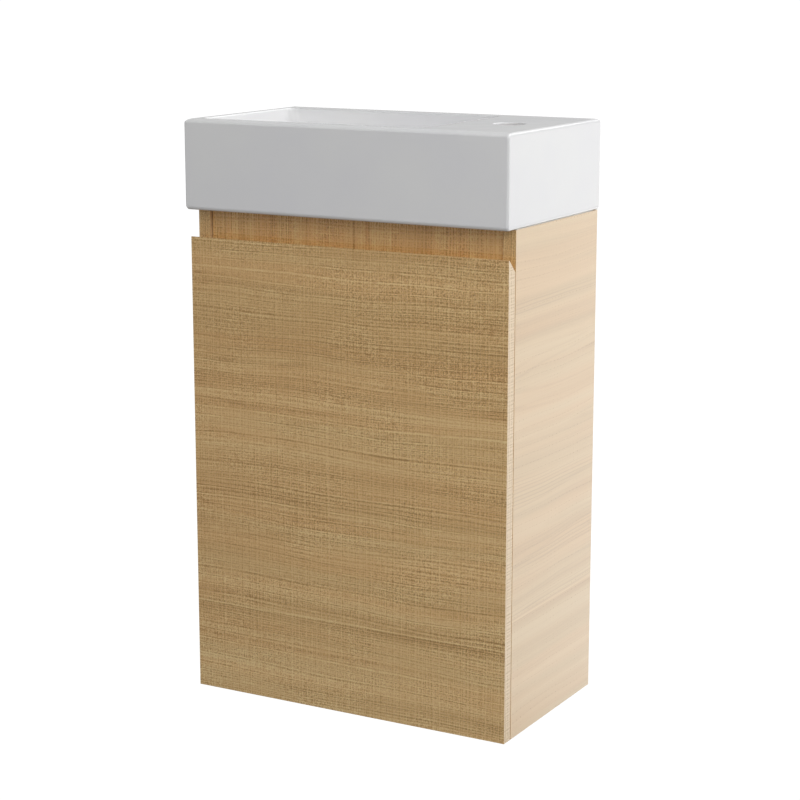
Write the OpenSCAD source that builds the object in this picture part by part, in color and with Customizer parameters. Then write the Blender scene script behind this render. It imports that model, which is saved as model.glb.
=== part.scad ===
// Wall-hung cloakroom vanity unit: a slab basin on a one-door cabinet of 15 mm laminate boards.
// X runs to the right along the wall, Y runs back into the wall and Z is up.
// The origin lies on the wall, midway between the screw holes of the two wall plates.

/* [Basin] */
// Width of the basin
basin_w = 400; // [380:1:450]
// Depth of the basin from the wall to its front
basin_d = 228; // [222:1:250]
// Height of the basin from its underside to its rim
basin_h = 100; // [85:1:120]
// How far the basin stands out past each side panel
basin_side = 2; // [1:0.5:4]
// How far the basin stands out past the door's front
basin_front = 7.5; // [4:0.5:12]
// Rounding of the basin's outer edges
basin_edge_r = 4; // [2:0.5:6]
// Width of the flat tap deck at the right end
deck_w = 113; // [95:1:130]
// Width of the rim at the bowl's left end
rim_left = 10; // [8:1:14]
// Width of the rim along the bowl's front
rim_front = 20; // [14:1:30]
// Width of the rim along the bowl's back
rim_back = 20; // [14:1:30]
// Rounding of the bowl's upright corners
bowl_corner_r = 12; // [8:1:20]
// Rounding between the bowl's walls and its floor
bowl_floor_r = 18; // [10:1:25]
// Thickness of the ceramic under the bowl
bowl_floor_t = 14; // [12:1:18]
// Thickness of the tap deck
deck_t = 14; // [12:1:18]
// Thickness of the ceramic walls around the hollow under the deck
deck_wall_t = 10; // [8:1:12]
// Diameter of the tap hole
tap_hole_d = 35; // [32:0.5:36]
// Diameter of the waste hole
waste_hole_d = 46; // [44:0.5:48]
// Diameter of the dished seat around the waste hole
waste_seat_d = 66; // [58:1:80]
// Depth of the dished seat around the waste hole
waste_seat_depth = 3; // [2:0.5:5]

/* [Cabinet] */
// Height of the cabinet
cab_h = 556; // [500:1:650]
// Thickness of the boards
board_t = 15; // [14.8:0.1:16]
// Thickness of the sealant bead that the basin sits on
seal_t = 1; // [0.5:0.5:2]
// Width of the sealant bead
seal_w = 14; // [4:1:14]
// Height of the fascia rail
fascia_h = 70; // [60:1:90]
// How far the fascia stands behind the side panels' front edges
fascia_setback = 4; // [2:0.5:8]
// Height of the hanging rail
rail_h = 90; // [86:1:110]
// Height of the lower back rail
lower_rail_h = 70; // [60:1:100]
// How far the back rails stand in front of the wall
rail_setback = 12; // [11:0.5:16]

/* [Shelf] */
// Height of the shelf's underside above the base panel
shelf_rise = 190; // [140:1:240]
// Depth of the shelf
shelf_d = 150; // [120:1:160]
// Space between the shelf's front edge and the side panels' front edges
shelf_front_gap = 14.5; // [8:0.5:30]
// Gap between the shelf and each side panel
shelf_gap = 1; // [0.5:0.5:2]
// Diameter of the shelf supports' pins
shelf_pin_d = 5; // [4:0.5:6]

/* [Door] */
// Space between the basin's underside and the door's top edge
door_top_gap = 31; // [26:1:40]
// Space between the door's back and the side panels' front edges
door_gap = 1; // [1:0.1:1.5]
// Width of the flat land at the front of the door's top edge
door_land = 1.5; // [1:0.5:6]
// Diameter of the door bumpers
bumper_d = 8; // [6:0.5:10]
// Distance of the upper hinge below the door's top edge
upper_hinge_drop = 90; // [80:1:120]
// Distance of the lower hinge above the door's bottom edge
lower_hinge_rise = 90; // [80:1:120]

/* [Hinge] */
// Distance from the door's edge to the hinge cup's centre
cup_setback = 22.5; // [22:0.1:23]
// Diameter of the hinge cup
cup_d = 35; // [34.5:0.1:35.5]
// Depth of the hinge cup
cup_depth = 11.3; // [11:0.1:11.6]
// Wall of the pressed hinge cup
cup_wall = 1.2; // [1:0.1:1.3]
// Diameter of the hinge pins
pin_d = 2.2; // [2:0.1:2.4]
// Thickness of each link plate
link_t = 1.4; // [1.2:0.1:1.6]

/* [Hanger] */
// Height of each hanger housing
hanger_h = 56; // [52:1:60]
// Depth of each hanger housing, front to back
hanger_d = 52; // [46:1:60]
// Width of each hanger housing
hanger_w = 14; // [12:1:16]
// Thickness of the hanging hook
hook_t = 4; // [3:0.5:5]
// Width of each wall plate
wall_plate_w = 50; // [40:1:60]
// Thickness of the wall plates
wall_plate_t = 2.5; // [2:0.5:3]
// Diameter of the screw hole in each wall plate
wall_hole_d = 6; // [5:0.5:7]

/* [Fittings] */
// Diameter of the cam locks
cam_d = 15; // [14:0.5:16]
// Height of the cam locks
cam_h = 12.5; // [12:0.1:13]
// Distance from a board's end to its cam's centre
cam_back = 24; // [22:1:28]
// Diameter of the wood dowels
dowel_d = 8; // [6:1:8]
// Length of a dowel in the side panel
dowel_in_side = 11; // [9:0.5:12]
// Length of a dowel in the board that it joins
dowel_in_board = 19; // [16:1:24]
// Radial clearance of fittings in their holes
fit_gap = 0.05; // [0.03:0.01:0.1]

/* [Hidden] */
$fn = 48;

// Cuts run this far past the faces that they open, and blind holes this far past what they hold
over = 1;
end_gap = 0.3;
skin = 0.01;

// Width of the cabinet over its side panels, and its depth behind the door
cab_w = basin_w - 2 * basin_side;
cab_d = basin_d - basin_front - board_t - door_gap;

// Levels, from the hanging rail's middle at z = 0
cab_top_z = rail_h / 2;
cab_bottom_z = cab_top_z - cab_h;
base_top_z = cab_bottom_z + board_t;
basin_z = cab_top_z + seal_t;
rim_z = basin_z + basin_h;
door_top_z = basin_z - door_top_gap;

// Depths, from the wall at y = 0
front_y = -cab_d;
door_back_y = front_y - door_gap;
door_front_y = door_back_y - board_t;
fascia_mid_y = front_y + fascia_setback + board_t / 2;
rail_mid_y = -rail_setback - board_t / 2;
rail_front_y = -rail_setback - board_t;

// Widths
half_w = cab_w / 2;
inner_half = half_w - board_t;

// The bowl's middle, and its size at the rim
bowl_w = basin_w - rim_left - deck_w;
bowl_l = basin_d - rim_front - rim_back;
bowl_x = (rim_left - deck_w) / 2;
bowl_y = -(basin_d - rim_front + rim_back) / 2;
tap_x = (basin_w - deck_w) / 2;
tap_y = -basin_d / 2;

// The hollow under the deck stays inside the cabinet's walls, so the bead meets ceramic all round
hollow_margin = 3;
hollow_left = basin_w / 2 - deck_w + deck_wall_t;
hollow_right = min(inner_half - hollow_margin, basin_w / 2 - deck_wall_t);
hollow_front = max(fascia_mid_y + board_t / 2 + hollow_margin, deck_wall_t - basin_d);
hollow_back = rail_front_y - hollow_margin;

// Shelf: its place behind the door, and the rows of holes that its supports use
shelf_z = base_top_z + shelf_rise;
shelf_back_y = front_y + shelf_front_gap + shelf_d;
shelf_hole_step = 32;
support_inset = 28;
support_ys = [shelf_back_y - support_inset, shelf_back_y - shelf_d + support_inset];
support_pin_l = 8;
support_ledge = [7, 12, 5];

// Where the boards are joined to the side panels: [y, z, turn of the cam's open face about X]
cam_inset = 45;
dowel_inset = 72;
fascia_cam_drop = 50;
fascia_dowel_drop = 22;
rail_cam_z = -25;
rail_dowel_z = -4;
lower_cam_rise = 20;
lower_dowel_rise = 50;
base_mid_z = cab_bottom_z + board_t / 2;
CAM_PLACES = [
    [-cam_inset, base_mid_z, 0],
    [front_y + cam_inset, base_mid_z, 0],
    [fascia_mid_y, cab_top_z - fascia_cam_drop, -90],
    [rail_mid_y, rail_cam_z, 90],
    [rail_mid_y, base_top_z + lower_cam_rise, 90]
];
DOWEL_PLACES = [
    [-dowel_inset, base_mid_z],
    [front_y + dowel_inset, base_mid_z],
    [fascia_mid_y, cab_top_z - fascia_dowel_drop],
    [rail_mid_y, rail_dowel_z],
    [rail_mid_y, base_top_z + lower_dowel_rise]
];
bolt_thread_d = 5;
bolt_shaft_d = 7;
bolt_bore_d = 8;
bolt_neck_d = 4;
bolt_in_side = 11;
bolt_knob_l = 3.5;
cap_d = 17.5;
cap_t = 1.2;

// Cross recess in the screws' heads
recess_l = 4.4;
recess_w = 1.1;
recess_depth = 1.1;

// Hinge pivots, seen from above: [distance from the cabinet's side, distance behind its front edge]
LONG_ARM_PIVOT = [36, 16];
LONG_CUP_PIVOT = [9.7, -3.7];
SHORT_ARM_PIVOT = [28, -7.2];
SHORT_CUP_PIVOT = [13.1, -8];
long_link_bow = 9.6;
short_link_bow = 2.1;
long_link_w = 2.4;
short_link_w = 2;
nose_w = 3.6;
nose_eye_d = 4;
nose_root = 8;
NOSE_BEND = [29.5, 4];
eye_d = 3.9;
LINK_STEPS = 16;

// Hinge layers, counted out from its middle plane
layer_gap = 0.3;
short_link_half_t = 2;
nose_in = short_link_half_t + layer_gap;
nose_out = nose_in + link_t;
long_in = nose_out + layer_gap;
long_out = long_in + link_t;
ear_in = long_out + layer_gap;
ear_out = ear_in + link_t;

// How far the guide pin travels in the cup's slots as the door swings, and the slots' clearance
GUIDE_TRAVEL = [2.1, 1.2];
GUIDE_SHIFT = [0, 0.6];
slot_clear = 0.35;

// Hinge arm and its mounting plate
arm_back = 78;
arm_front = 21;
arm_low = 20.6;
arm_high = 31;
arm_half = 6.5;
arm_wall = 1.5;
plate_setback = 37;
plate_screw_z = 16;
plate_wing_t = 2;
plate_screw_d = 6;
plate_screw_l = 11;
wing_half = 6;
cup_screw_d = 3.5;
cup_screw_l = 11;
arm_screw_d = 5;
cup_screw_z = 22.5;
cup_screw_back = 9.5;
cup_wing_t = 1.2;
arm_screw_back = 66;
arm_adjust_back = 48;
bumper_t = door_gap - 0.2;
bumper_inset = 40;
upper_hinge_z = door_top_z - upper_hinge_drop;
lower_hinge_z = cab_bottom_z + lower_hinge_rise;

// Hangers: the hook's arm passes over the wall plate's raised lip
lip_gap = 4;
lip_top_z = 24;
hook_clear = 0.3;
wall_clear = 0.7;
hook_arm_h = 10;
hook_drop = 10;
hook_reach = 40;
hanger_top_z = cab_top_z - 2;
hanger_x = inner_half - hanger_w / 2;
plate_x = inner_half - 1 - wall_plate_w / 2;
adjuster_d = 5;
hanger_screw_d = 4;
hanger_screw_in = 10;
hanger_screw_z = -5;
hanger_screw_backs = [12, 40];
lower_adjuster_z = 5;
adjuster_l = hanger_d - hook_reach - hook_clear;
countersink = 2.5;
hook_slot_w = hook_t + 3;
hook_play = 3;

// A rectangle with round corners, about its own middle
module rounded_rect(w, h, r) {
    square([w - 2 * r, h], center = true);
    square([w, h - 2 * r], center = true);
    for (sx = [-1, 1], sy = [-1, 1])
        translate([sx * (w / 2 - r), sy * (h / 2 - r)]) circle(r);
}

// A block whose upright edges have radius plan_r and whose other edges have radius side_r
module soft_block(w, d, h, plan_r, side_r) {
    intersection() {
        linear_extrude(h) rounded_rect(w, d, plan_r);
        rotate([90, 0, 0])
            linear_extrude(d, center = true) translate([0, h / 2]) rounded_rect(w, h, side_r);
        rotate([90, 0, 90])
            linear_extrude(w, center = true) translate([0, h / 2]) rounded_rect(d, h, side_r);
    }
}

// A box given by its lowest and highest corners
module box(lo, hi) {
    translate(lo) cube(hi - lo);
}

// A round bar from one point, along X, Y or Z
module bar_x(d, from, to) translate([from, 0, 0]) rotate([0, 90, 0]) cylinder(d = d, h = to - from);
module bar_y(d, from, to) translate([0, to, 0]) rotate([90, 0, 0]) cylinder(d = d, h = to - from);
module bar_z(d, from, to) translate([0, 0, from]) cylinder(d = d, h = to - from);

// Basin: a slab with a bowl at the left and a hollow under the tap deck at the right
module basin() color("white") {
    difference() {
        translate([0, -basin_d / 2, basin_z])
            soft_block(basin_w, basin_d, basin_h, basin_edge_r, basin_edge_r);
        translate([bowl_x, bowl_y, basin_z + bowl_floor_t])
            soft_block(bowl_w, bowl_l, basin_h + 2 * bowl_floor_r, bowl_corner_r, bowl_floor_r);
        box([hollow_left, hollow_front, basin_z - over], [hollow_right, hollow_back, rim_z - deck_t]);
        translate([tap_x, tap_y, 0]) bar_z(tap_hole_d, rim_z - deck_t - over, rim_z + over);
        translate([bowl_x, bowl_y, 0])
            bar_z(waste_hole_d, basin_z - over, basin_z + bowl_floor_t + over);
        translate([bowl_x, bowl_y, basin_z + bowl_floor_t - waste_seat_depth])
            cylinder(d1 = waste_hole_d, d2 = waste_seat_d, h = waste_seat_depth + skin);
    }
}

// Sealant: one bead along the tops of the side panels, the fascia and the hanging rail
module sealant_bead() color("white") {
    ring_x = inner_half + board_t / 2;
    difference() {
        box([-ring_x - seal_w / 2, fascia_mid_y - seal_w / 2, cab_top_z],
            [ring_x + seal_w / 2, rail_mid_y + seal_w / 2, basin_z]);
        box([-ring_x + seal_w / 2, fascia_mid_y + seal_w / 2, cab_top_z - over],
            [ring_x - seal_w / 2, rail_mid_y - seal_w / 2, basin_z + over]);
    }
}

// Places its children at each board end; X runs from the left panel's inner face into the board
module at_ends(places) {
    for (p = places, side = [0, 1])
        mirror([side, 0, 0])
            translate([-inner_half, p[0], p[1]]) rotate([len(p) > 2 ? p[2] : 0, 0, 0]) children();
}

// Holes that the cam bolts and dowels need in the side panels and in the boards
module side_fitting_holes() {
    at_ends(CAM_PLACES) bar_x(bolt_thread_d + 2 * fit_gap, -bolt_in_side - end_gap, over);
    at_ends(DOWEL_PLACES) bar_x(dowel_d + 2 * fit_gap, -dowel_in_side - end_gap, over);
}
module board_fitting_holes() {
    at_ends(CAM_PLACES) {
        bar_x(bolt_bore_d, -over, cam_back);
        translate([cam_back, 0, 0])
            bar_z(cam_d + 2 * fit_gap, board_t / 2 - cam_h - fit_gap, board_t / 2 + over);
    }
    at_ends(DOWEL_PLACES) bar_x(dowel_d + 2 * fit_gap, -over, dowel_in_board + end_gap);
}

// Places its children at both hinges: X from the cabinet's left side, Y from its front edge
module at_hinge(z) translate([-half_w, front_y, z]) children();
module at_hinges() {
    at_hinge(upper_hinge_z) children();
    at_hinge(lower_hinge_z) children();
}

// Side panels
module side_board() {
    difference() {
        box([-half_w, front_y, cab_bottom_z], [-inner_half, 0, cab_top_z]);
        side_fitting_holes();
        for (y = support_ys, step = [-1, 0, 1])
            translate([-inner_half, y, shelf_z - support_ledge[2] / 2 + step * shelf_hole_step])
                bar_x(shelf_pin_d + 2 * fit_gap, -support_pin_l - end_gap, over);
        at_hanger_screws() bar_x(hanger_screw_d + 2 * fit_gap, -hanger_screw_in - end_gap, over);
    }
}
module side_panel_left() color("burlywood") {
    difference() {
        side_board();
        at_hinges() for (z = [-1, 1])
            translate([board_t, plate_setback, z * plate_screw_z])
                bar_x(plate_screw_d + 2 * fit_gap, -plate_screw_l - end_gap, over);
    }
}
module side_panel_right() color("burlywood") mirror([1, 0, 0]) side_board();

// Boards between the side panels
module base_panel() color("burlywood") {
    difference() {
        box([-inner_half, front_y, cab_bottom_z], [inner_half, 0, base_top_z]);
        board_fitting_holes();
    }
}
module fascia_rail() color("burlywood") {
    difference() {
        box([-inner_half, fascia_mid_y - board_t / 2, cab_top_z - fascia_h],
            [inner_half, fascia_mid_y + board_t / 2, cab_top_z]);
        board_fitting_holes();
    }
}
module hanging_rail() color("burlywood") {
    difference() {
        box([-inner_half, rail_front_y, cab_top_z - rail_h], [inner_half, -rail_setback, cab_top_z]);
        board_fitting_holes();
        for (x = [-hanger_x, hanger_x])
            box([x - hook_slot_w / 2, rail_front_y - over, lip_top_z - hook_drop - hook_play],
                [x + hook_slot_w / 2, over - rail_setback, lip_top_z + hook_arm_h + hook_play]);
    }
}
module lower_back_rail() color("burlywood") {
    difference() {
        box([-inner_half, rail_front_y, base_top_z],
            [inner_half, -rail_setback, base_top_z + lower_rail_h]);
        board_fitting_holes();
    }
}
module shelf() color("burlywood")
    box([-inner_half + shelf_gap, shelf_back_y - shelf_d, shelf_z],
        [inner_half - shelf_gap, shelf_back_y, shelf_z + board_t]);

// Shelf supports: a pin in the side panel and a ledge under the shelf
module shelf_supports() color("silver") {
    for (side = [0, 1], y = support_ys)
        mirror([side, 0, 0]) translate([-inner_half, y, shelf_z - support_ledge[2] / 2]) {
            bar_x(shelf_pin_d, -support_pin_l, support_ledge[0] / 2);
            translate([0, -support_ledge[1] / 2, -support_ledge[2] / 2]) cube(support_ledge);
        }
}

// Fittings that pull the boards against the side panels
module wood_dowels() color("tan") {
    chamfer = 1;
    at_ends(DOWEL_PLACES) rotate([0, 90, 0]) {
        translate([0, 0, chamfer - dowel_in_side])
            cylinder(d = dowel_d, h = dowel_in_side + dowel_in_board - 2 * chamfer);
        translate([0, 0, -dowel_in_side]) cylinder(d1 = dowel_d - 2 * chamfer, d2 = dowel_d, h = chamfer);
        translate([0, 0, dowel_in_board - chamfer])
            cylinder(d1 = dowel_d, d2 = dowel_d - 2 * chamfer, h = chamfer);
    }
}
module cam_bolts() color("silver") {
    neck_from = cam_back - cam_d / 2 - 1;
    knob_to = cam_back + 1;
    at_ends(CAM_PLACES) {
        bar_x(bolt_thread_d, -bolt_in_side, 0);
        bar_x(bolt_shaft_d, 0, neck_from);
        bar_x(bolt_neck_d, neck_from, knob_to);
        bar_x(bolt_shaft_d, knob_to - bolt_knob_l, knob_to);
    }
}
module cam_locks() color("gray") {
    slot_l = 9;
    slot_w = 1.4;
    slot_depth = 2;
    at_ends(CAM_PLACES) difference() {
        translate([cam_back, 0, 0]) bar_z(cam_d, board_t / 2 - cam_h, board_t / 2);
        bar_x(bolt_bore_d, 0, cam_back + 2);
        translate([cam_back, 0, board_t / 2]) {
            cube([slot_l, slot_w, 2 * slot_depth], center = true);
            cube([slot_w, slot_l, 2 * slot_depth], center = true);
        }
    }
}
module cam_caps() color("burlywood") {
    at_ends(CAM_PLACES) translate([cam_back, 0, board_t / 2]) {
        bar_z(cap_d, 0, cap_t / 2);
        translate([0, 0, cap_t / 2]) cylinder(d1 = cap_d, d2 = cap_d - cap_t, h = cap_t / 2);
    }
}

// Door: a board whose top edge falls at 45 degrees from a flat land to its back
module door_panel() color("burlywood") {
    difference() {
        translate([-half_w, 0, 0]) rotate([90, 0, 90]) linear_extrude(cab_w) polygon([
            [door_front_y, cab_bottom_z],
            [door_back_y, cab_bottom_z],
            [door_back_y, door_top_z - (board_t - door_land)],
            [door_front_y + door_land, door_top_z],
            [door_front_y, door_top_z]
        ]);
        at_hinges() {
            translate([cup_setback, 0, 0])
                bar_y(cup_d + 2 * fit_gap, -door_gap - cup_depth - end_gap, over - door_gap);
            for (z = [-1, 1]) translate([cup_setback + cup_screw_back, 0, z * cup_screw_z])
                bar_y(cup_screw_d + 2 * fit_gap, -door_gap - cup_screw_l - end_gap, over - door_gap);
        }
    }
}
module door_bumpers() color("gainsboro") {
    for (z = [door_top_z - bumper_inset, cab_bottom_z + bumper_inset])
        translate([half_w - board_t / 2, 0, z]) {
            bar_y(bumper_d, door_back_y, door_back_y + bumper_t / 2);
            translate([0, door_back_y + bumper_t, 0]) rotate([90, 0, 0])
                cylinder(d1 = bumper_d - 1, d2 = bumper_d, h = bumper_t / 2);
        }
}

// A point on the bowed line between two pivots, and that line's left-hand normal
function unit(v) = v / norm(v);
function left_of(v) = [-v[1], v[0]];
function bow_point(p, q, bow, t) = p + (q - p) * t + left_of(unit(q - p)) * bow * 4 * t * (1 - t);
function bow_side(p, q, bow, t) = left_of(unit(q - p + left_of(unit(q - p)) * bow * 4 * (1 - 2 * t)));

// A bowed link plate with an eye at each end, from z = 0 up
module link_plate(p, q, bow, w, t) {
    steps = [for (i = [0 : LINK_STEPS]) i / LINK_STEPS];
    difference() {
        union() {
            linear_extrude(t) polygon(concat(
                [for (s = steps) bow_point(p, q, bow, s) + bow_side(p, q, bow, s) * w / 2],
                [for (s = steps) bow_point(p, q, bow, 1 - s) - bow_side(p, q, bow, 1 - s) * w / 2]
            ));
            for (c = [p, q]) translate(c) cylinder(d = eye_d, h = t);
        }
        for (c = [p, q]) translate(c) bar_z(pin_d + 2 * fit_gap, -over, t + over);
    }
}

// A straight strap between two points, drawn flat
module strap(p, q, w) {
    run = q - p;
    translate(p) rotate(atan2(run[1], run[0])) translate([0, -w / 2]) square([norm(run), w]);
}

// The same plate on both sides of the hinge's middle plane
module plate_pair(inner, outer) {
    for (side = [0, 1])
        mirror([0, 0, side]) translate([0, 0, inner]) linear_extrude(outer - inner) children();
}

// Hinge cup: a pressed cup let into the door, with ears for the link pins and a screwed flange
module hinge_cup() color("silver") {
    bottom = -door_gap - cup_depth;
    flange_y = cup_wing_t - door_gap;
    flange_w = 2;
    ear_top = 0.8;
    ear_back = 17.5;
    ear_slope = 5;
    difference() {
        union() {
            difference() {
                translate([cup_setback, 0, 0]) bar_y(cup_d, bottom, -door_gap);
                translate([cup_setback, 0, 0]) bar_y(cup_d - 2 * cup_wall, bottom + cup_wall, over);
            }
            intersection() {
                translate([cup_setback, 0, 0]) bar_y(cup_d - cup_wall, bottom + cup_wall / 2, -door_gap);
                plate_pair(ear_in, ear_out) polygon([
                    [cup_setback - cup_d / 2, bottom],
                    [ear_back, bottom],
                    [ear_back, -door_gap - ear_slope],
                    [ear_back - ear_slope, -door_gap - ear_top],
                    [cup_setback - cup_d / 2, -door_gap - ear_top]
                ]);
            }
            difference() {
                union() {
                    translate([cup_setback, 0, 0])
                        bar_y(cup_d + 2 * flange_w, -door_gap, flange_y);
                    box([cup_setback + cup_screw_back - wing_half, -door_gap, -cup_screw_z - wing_half],
                        [cup_setback + cup_screw_back + wing_half, flange_y, cup_screw_z + wing_half]);
                }
                translate([cup_setback, 0, 0]) bar_y(cup_d - 2 * cup_wall, -door_gap - over, over);
                box([0, -door_gap - over, -cup_d], [board_t + 1, over, cup_d]);
            }
        }
        plate_pair(ear_in - over / 2, ear_out + over / 2) {
            translate(LONG_CUP_PIVOT) circle(d = pin_d + 2 * fit_gap);
            translate(SHORT_CUP_PIVOT + GUIDE_SHIFT)
                square(GUIDE_TRAVEL + [1, 1] * (pin_d + 2 * slot_clear), center = true);
        }
        for (z = [-1, 1]) translate([cup_setback + cup_screw_back, 0, z * cup_screw_z])
            bar_y(cup_screw_d + 2 * fit_gap, -door_gap - over, over);
    }
}
module cup_screws() color("silver") {
    head_d = 7;
    head_t = 1.6;
    head_y = cup_wing_t - door_gap;
    at_hinges() for (z = [-1, 1]) translate([cup_setback + cup_screw_back, 0, z * cup_screw_z])
        difference() {
            union() {
                bar_y(cup_screw_d, -door_gap - cup_screw_l, head_y);
                bar_y(head_d, head_y, head_y + head_t);
            }
            translate([0, head_y + head_t, 0]) cross_recess();
        }
}

// A cross-shaped recess for a driver, cut into a head that faces along Y
module cross_recess() {
    cube([recess_l, 2 * recess_depth, recess_w], center = true);
    cube([recess_w, 2 * recess_depth, recess_l], center = true);
}

// Links: a pair of long plates, and one short bar between them
module long_link() color("silver")
    for (side = [0, 1]) mirror([0, 0, side]) translate([0, 0, long_in])
        link_plate(LONG_ARM_PIVOT, LONG_CUP_PIVOT, long_link_bow, long_link_w, link_t);
module short_link() color("gray")
    translate([0, 0, -short_link_half_t]) link_plate(
        SHORT_ARM_PIVOT, SHORT_CUP_PIVOT, short_link_bow, short_link_w, 2 * short_link_half_t
    );

// Pins: two short ones hold the long plates in the cup's ears, and one rides in the ears' slots
module cup_pins() color("silver")
    translate(LONG_CUP_PIVOT) {
        bar_z(pin_d, long_in, ear_out + layer_gap);
        bar_z(pin_d, -ear_out - layer_gap, -long_in);
    }
module guide_pins() color("silver")
    at_hinges() translate(SHORT_CUP_PIVOT) bar_z(pin_d, -ear_out - layer_gap, ear_out + layer_gap);
module arm_pins() color("silver") {
    translate(LONG_ARM_PIVOT) bar_z(pin_d, -long_out - layer_gap, long_out + layer_gap);
    translate(SHORT_ARM_PIVOT) bar_z(pin_d, -nose_out, nose_out);
}

// Arm: a channel over the mounting plate, with two nose plates that carry the links
module nose_outline() {
    root_y = arm_front + nose_root;
    difference() {
        union() {
            strap(SHORT_ARM_PIVOT, NOSE_BEND, nose_w);
            strap(NOSE_BEND, LONG_ARM_PIVOT, nose_w);
            for (c = [SHORT_ARM_PIVOT, NOSE_BEND, LONG_ARM_PIVOT]) translate(c) circle(d = nose_eye_d);
            polygon([
                NOSE_BEND,
                LONG_ARM_PIVOT,
                [arm_high - arm_wall / 2, root_y],
                [arm_high - arm_wall - nose_w / 2, root_y]
            ]);
        }
        for (c = [SHORT_ARM_PIVOT, LONG_ARM_PIVOT]) translate(c) circle(d = pin_d + 2 * fit_gap);
    }
}
module hinge_arm() color("silver") {
    difference() {
        union() {
            plate_pair(nose_in, nose_out) nose_outline();
            difference() {
                box([arm_low, arm_front, -arm_half], [arm_high, arm_back, arm_half]);
                box([arm_low - over, arm_front - over, arm_wall - arm_half],
                    [arm_high - arm_wall, arm_back + over, arm_half - arm_wall]);
            }
        }
        for (y = [arm_screw_back, arm_adjust_back]) translate([0, y, 0])
            bar_x(arm_screw_d + 2 * fit_gap, arm_high - arm_wall - over, arm_high + over);
    }
}

// Mounting plate: two wings on the side panel and a ridge that the arm clips over
module hinge_plate() color("silver") {
    ridge_half = arm_half - arm_wall - layer_gap;
    ridge_top = arm_high - arm_wall - layer_gap;
    ridge_inset = 8;
    difference() {
        union() {
            box([board_t, plate_setback - wing_half, -plate_screw_z - wing_half],
                [board_t + plate_wing_t, plate_setback + wing_half, plate_screw_z + wing_half]);
            box([board_t, arm_front + ridge_inset, -ridge_half],
                [ridge_top, arm_back - ridge_inset, ridge_half]);
        }
        for (z = [-1, 1]) translate([board_t, plate_setback, z * plate_screw_z])
            bar_x(plate_screw_d + 2 * fit_gap, -over, plate_wing_t + over);
        for (y = [arm_screw_back, arm_adjust_back]) translate([0, y, 0])
            bar_x(arm_screw_d + 2 * fit_gap, arm_low, ridge_top + over);
    }
}
module plate_screws() color("silver") {
    head_d = 9.5;
    head_t = 1.8;
    at_hinges() for (z = [-1, 1]) translate([board_t, plate_setback, z * plate_screw_z])
        difference() {
            union() {
                bar_x(plate_screw_d, -plate_screw_l, plate_wing_t);
                bar_x(head_d, plate_wing_t, plate_wing_t + head_t);
            }
            translate([plate_wing_t + head_t, 0, 0]) rotate(90) cross_recess();
        }
}
module arm_screws() color("silver") {
    head_d = 8;
    head_t = 2;
    at_hinges() for (y = [arm_screw_back, arm_adjust_back]) translate([0, y, 0])
        difference() {
            union() {
                bar_x(arm_screw_d, arm_low + 1, arm_high);
                bar_x(head_d, arm_high, arm_high + head_t);
            }
            translate([arm_high + head_t, 0, 0]) rotate(90) cross_recess();
        }
}

// Hangers: a housing on each side panel, and a hook that goes through the hanging rail
module at_hanger_screws()
    for (y = hanger_screw_backs)
        translate([-inner_half, rail_front_y - y, hanger_screw_z]) children();
module at_adjusters() {
    translate([-hanger_x, rail_front_y - hanger_d, lip_top_z + hook_clear + hook_arm_h / 2]) children();
    translate([-hanger_x, rail_front_y - hanger_d, lower_adjuster_z]) children();
}
module hanger_housing() color("gainsboro") {
    difference() {
        box([-inner_half, rail_front_y - hanger_d, hanger_top_z - hanger_h],
            [-inner_half + hanger_w, rail_front_y, hanger_top_z]);
        box([-hanger_x - hook_t / 2 - hook_clear, rail_front_y - hook_reach - hook_clear,
                lip_top_z - hook_play],
            [-hanger_x + hook_t / 2 + hook_clear, rail_front_y + over,
                lip_top_z + hook_arm_h + hook_play]);
        at_adjusters() bar_y(adjuster_d + 2 * fit_gap, -over, adjuster_l + hook_clear);
        at_hanger_screws() {
            bar_x(hanger_screw_d + 2 * fit_gap, -over, hanger_w);
            translate([hanger_w - countersink, 0, 0]) rotate([0, 90, 0]) cylinder(
                d1 = hanger_screw_d + 2 * fit_gap,
                d2 = 2 * hanger_screw_d + 2 * fit_gap,
                h = countersink + skin
            );
        }
    }
}
module hanger_hook() color("silver") {
    arm_low_z = lip_top_z + hook_clear;
    tip_y = -lip_gap + hook_clear;
    back_y = -wall_clear;
    bevel = 2;
    translate([-hanger_x - hook_t / 2, 0, 0]) rotate([90, 0, 90]) linear_extrude(hook_t) polygon([
        [rail_front_y - hook_reach, arm_low_z],
        [tip_y, arm_low_z],
        [tip_y, lip_top_z - hook_drop],
        [back_y, lip_top_z - hook_drop],
        [back_y, arm_low_z + hook_arm_h - bevel],
        [back_y - bevel, arm_low_z + hook_arm_h],
        [rail_front_y - hook_reach, arm_low_z + hook_arm_h]
    ]);
}
module hanger_adjusters() color("silver") {
    head_d = 8;
    head_t = 2;
    for (side = [0, 1]) mirror([side, 0, 0]) at_adjusters() difference() {
        union() {
            bar_y(adjuster_d, 0, adjuster_l);
            bar_y(head_d, -head_t, 0);
        }
        translate([0, -head_t, 0]) cross_recess();
    }
}
module hanger_screws() color("silver") {
    for (side = [0, 1]) mirror([side, 0, 0]) at_hanger_screws() difference() {
        union() {
            bar_x(hanger_screw_d, -hanger_screw_in, hanger_w - countersink);
            translate([hanger_w - countersink, 0, 0]) rotate([0, 90, 0])
                cylinder(d1 = hanger_screw_d, d2 = 2 * hanger_screw_d, h = countersink);
        }
        translate([hanger_w, 0, 0]) rotate(90) cross_recess();
    }
}

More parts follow.
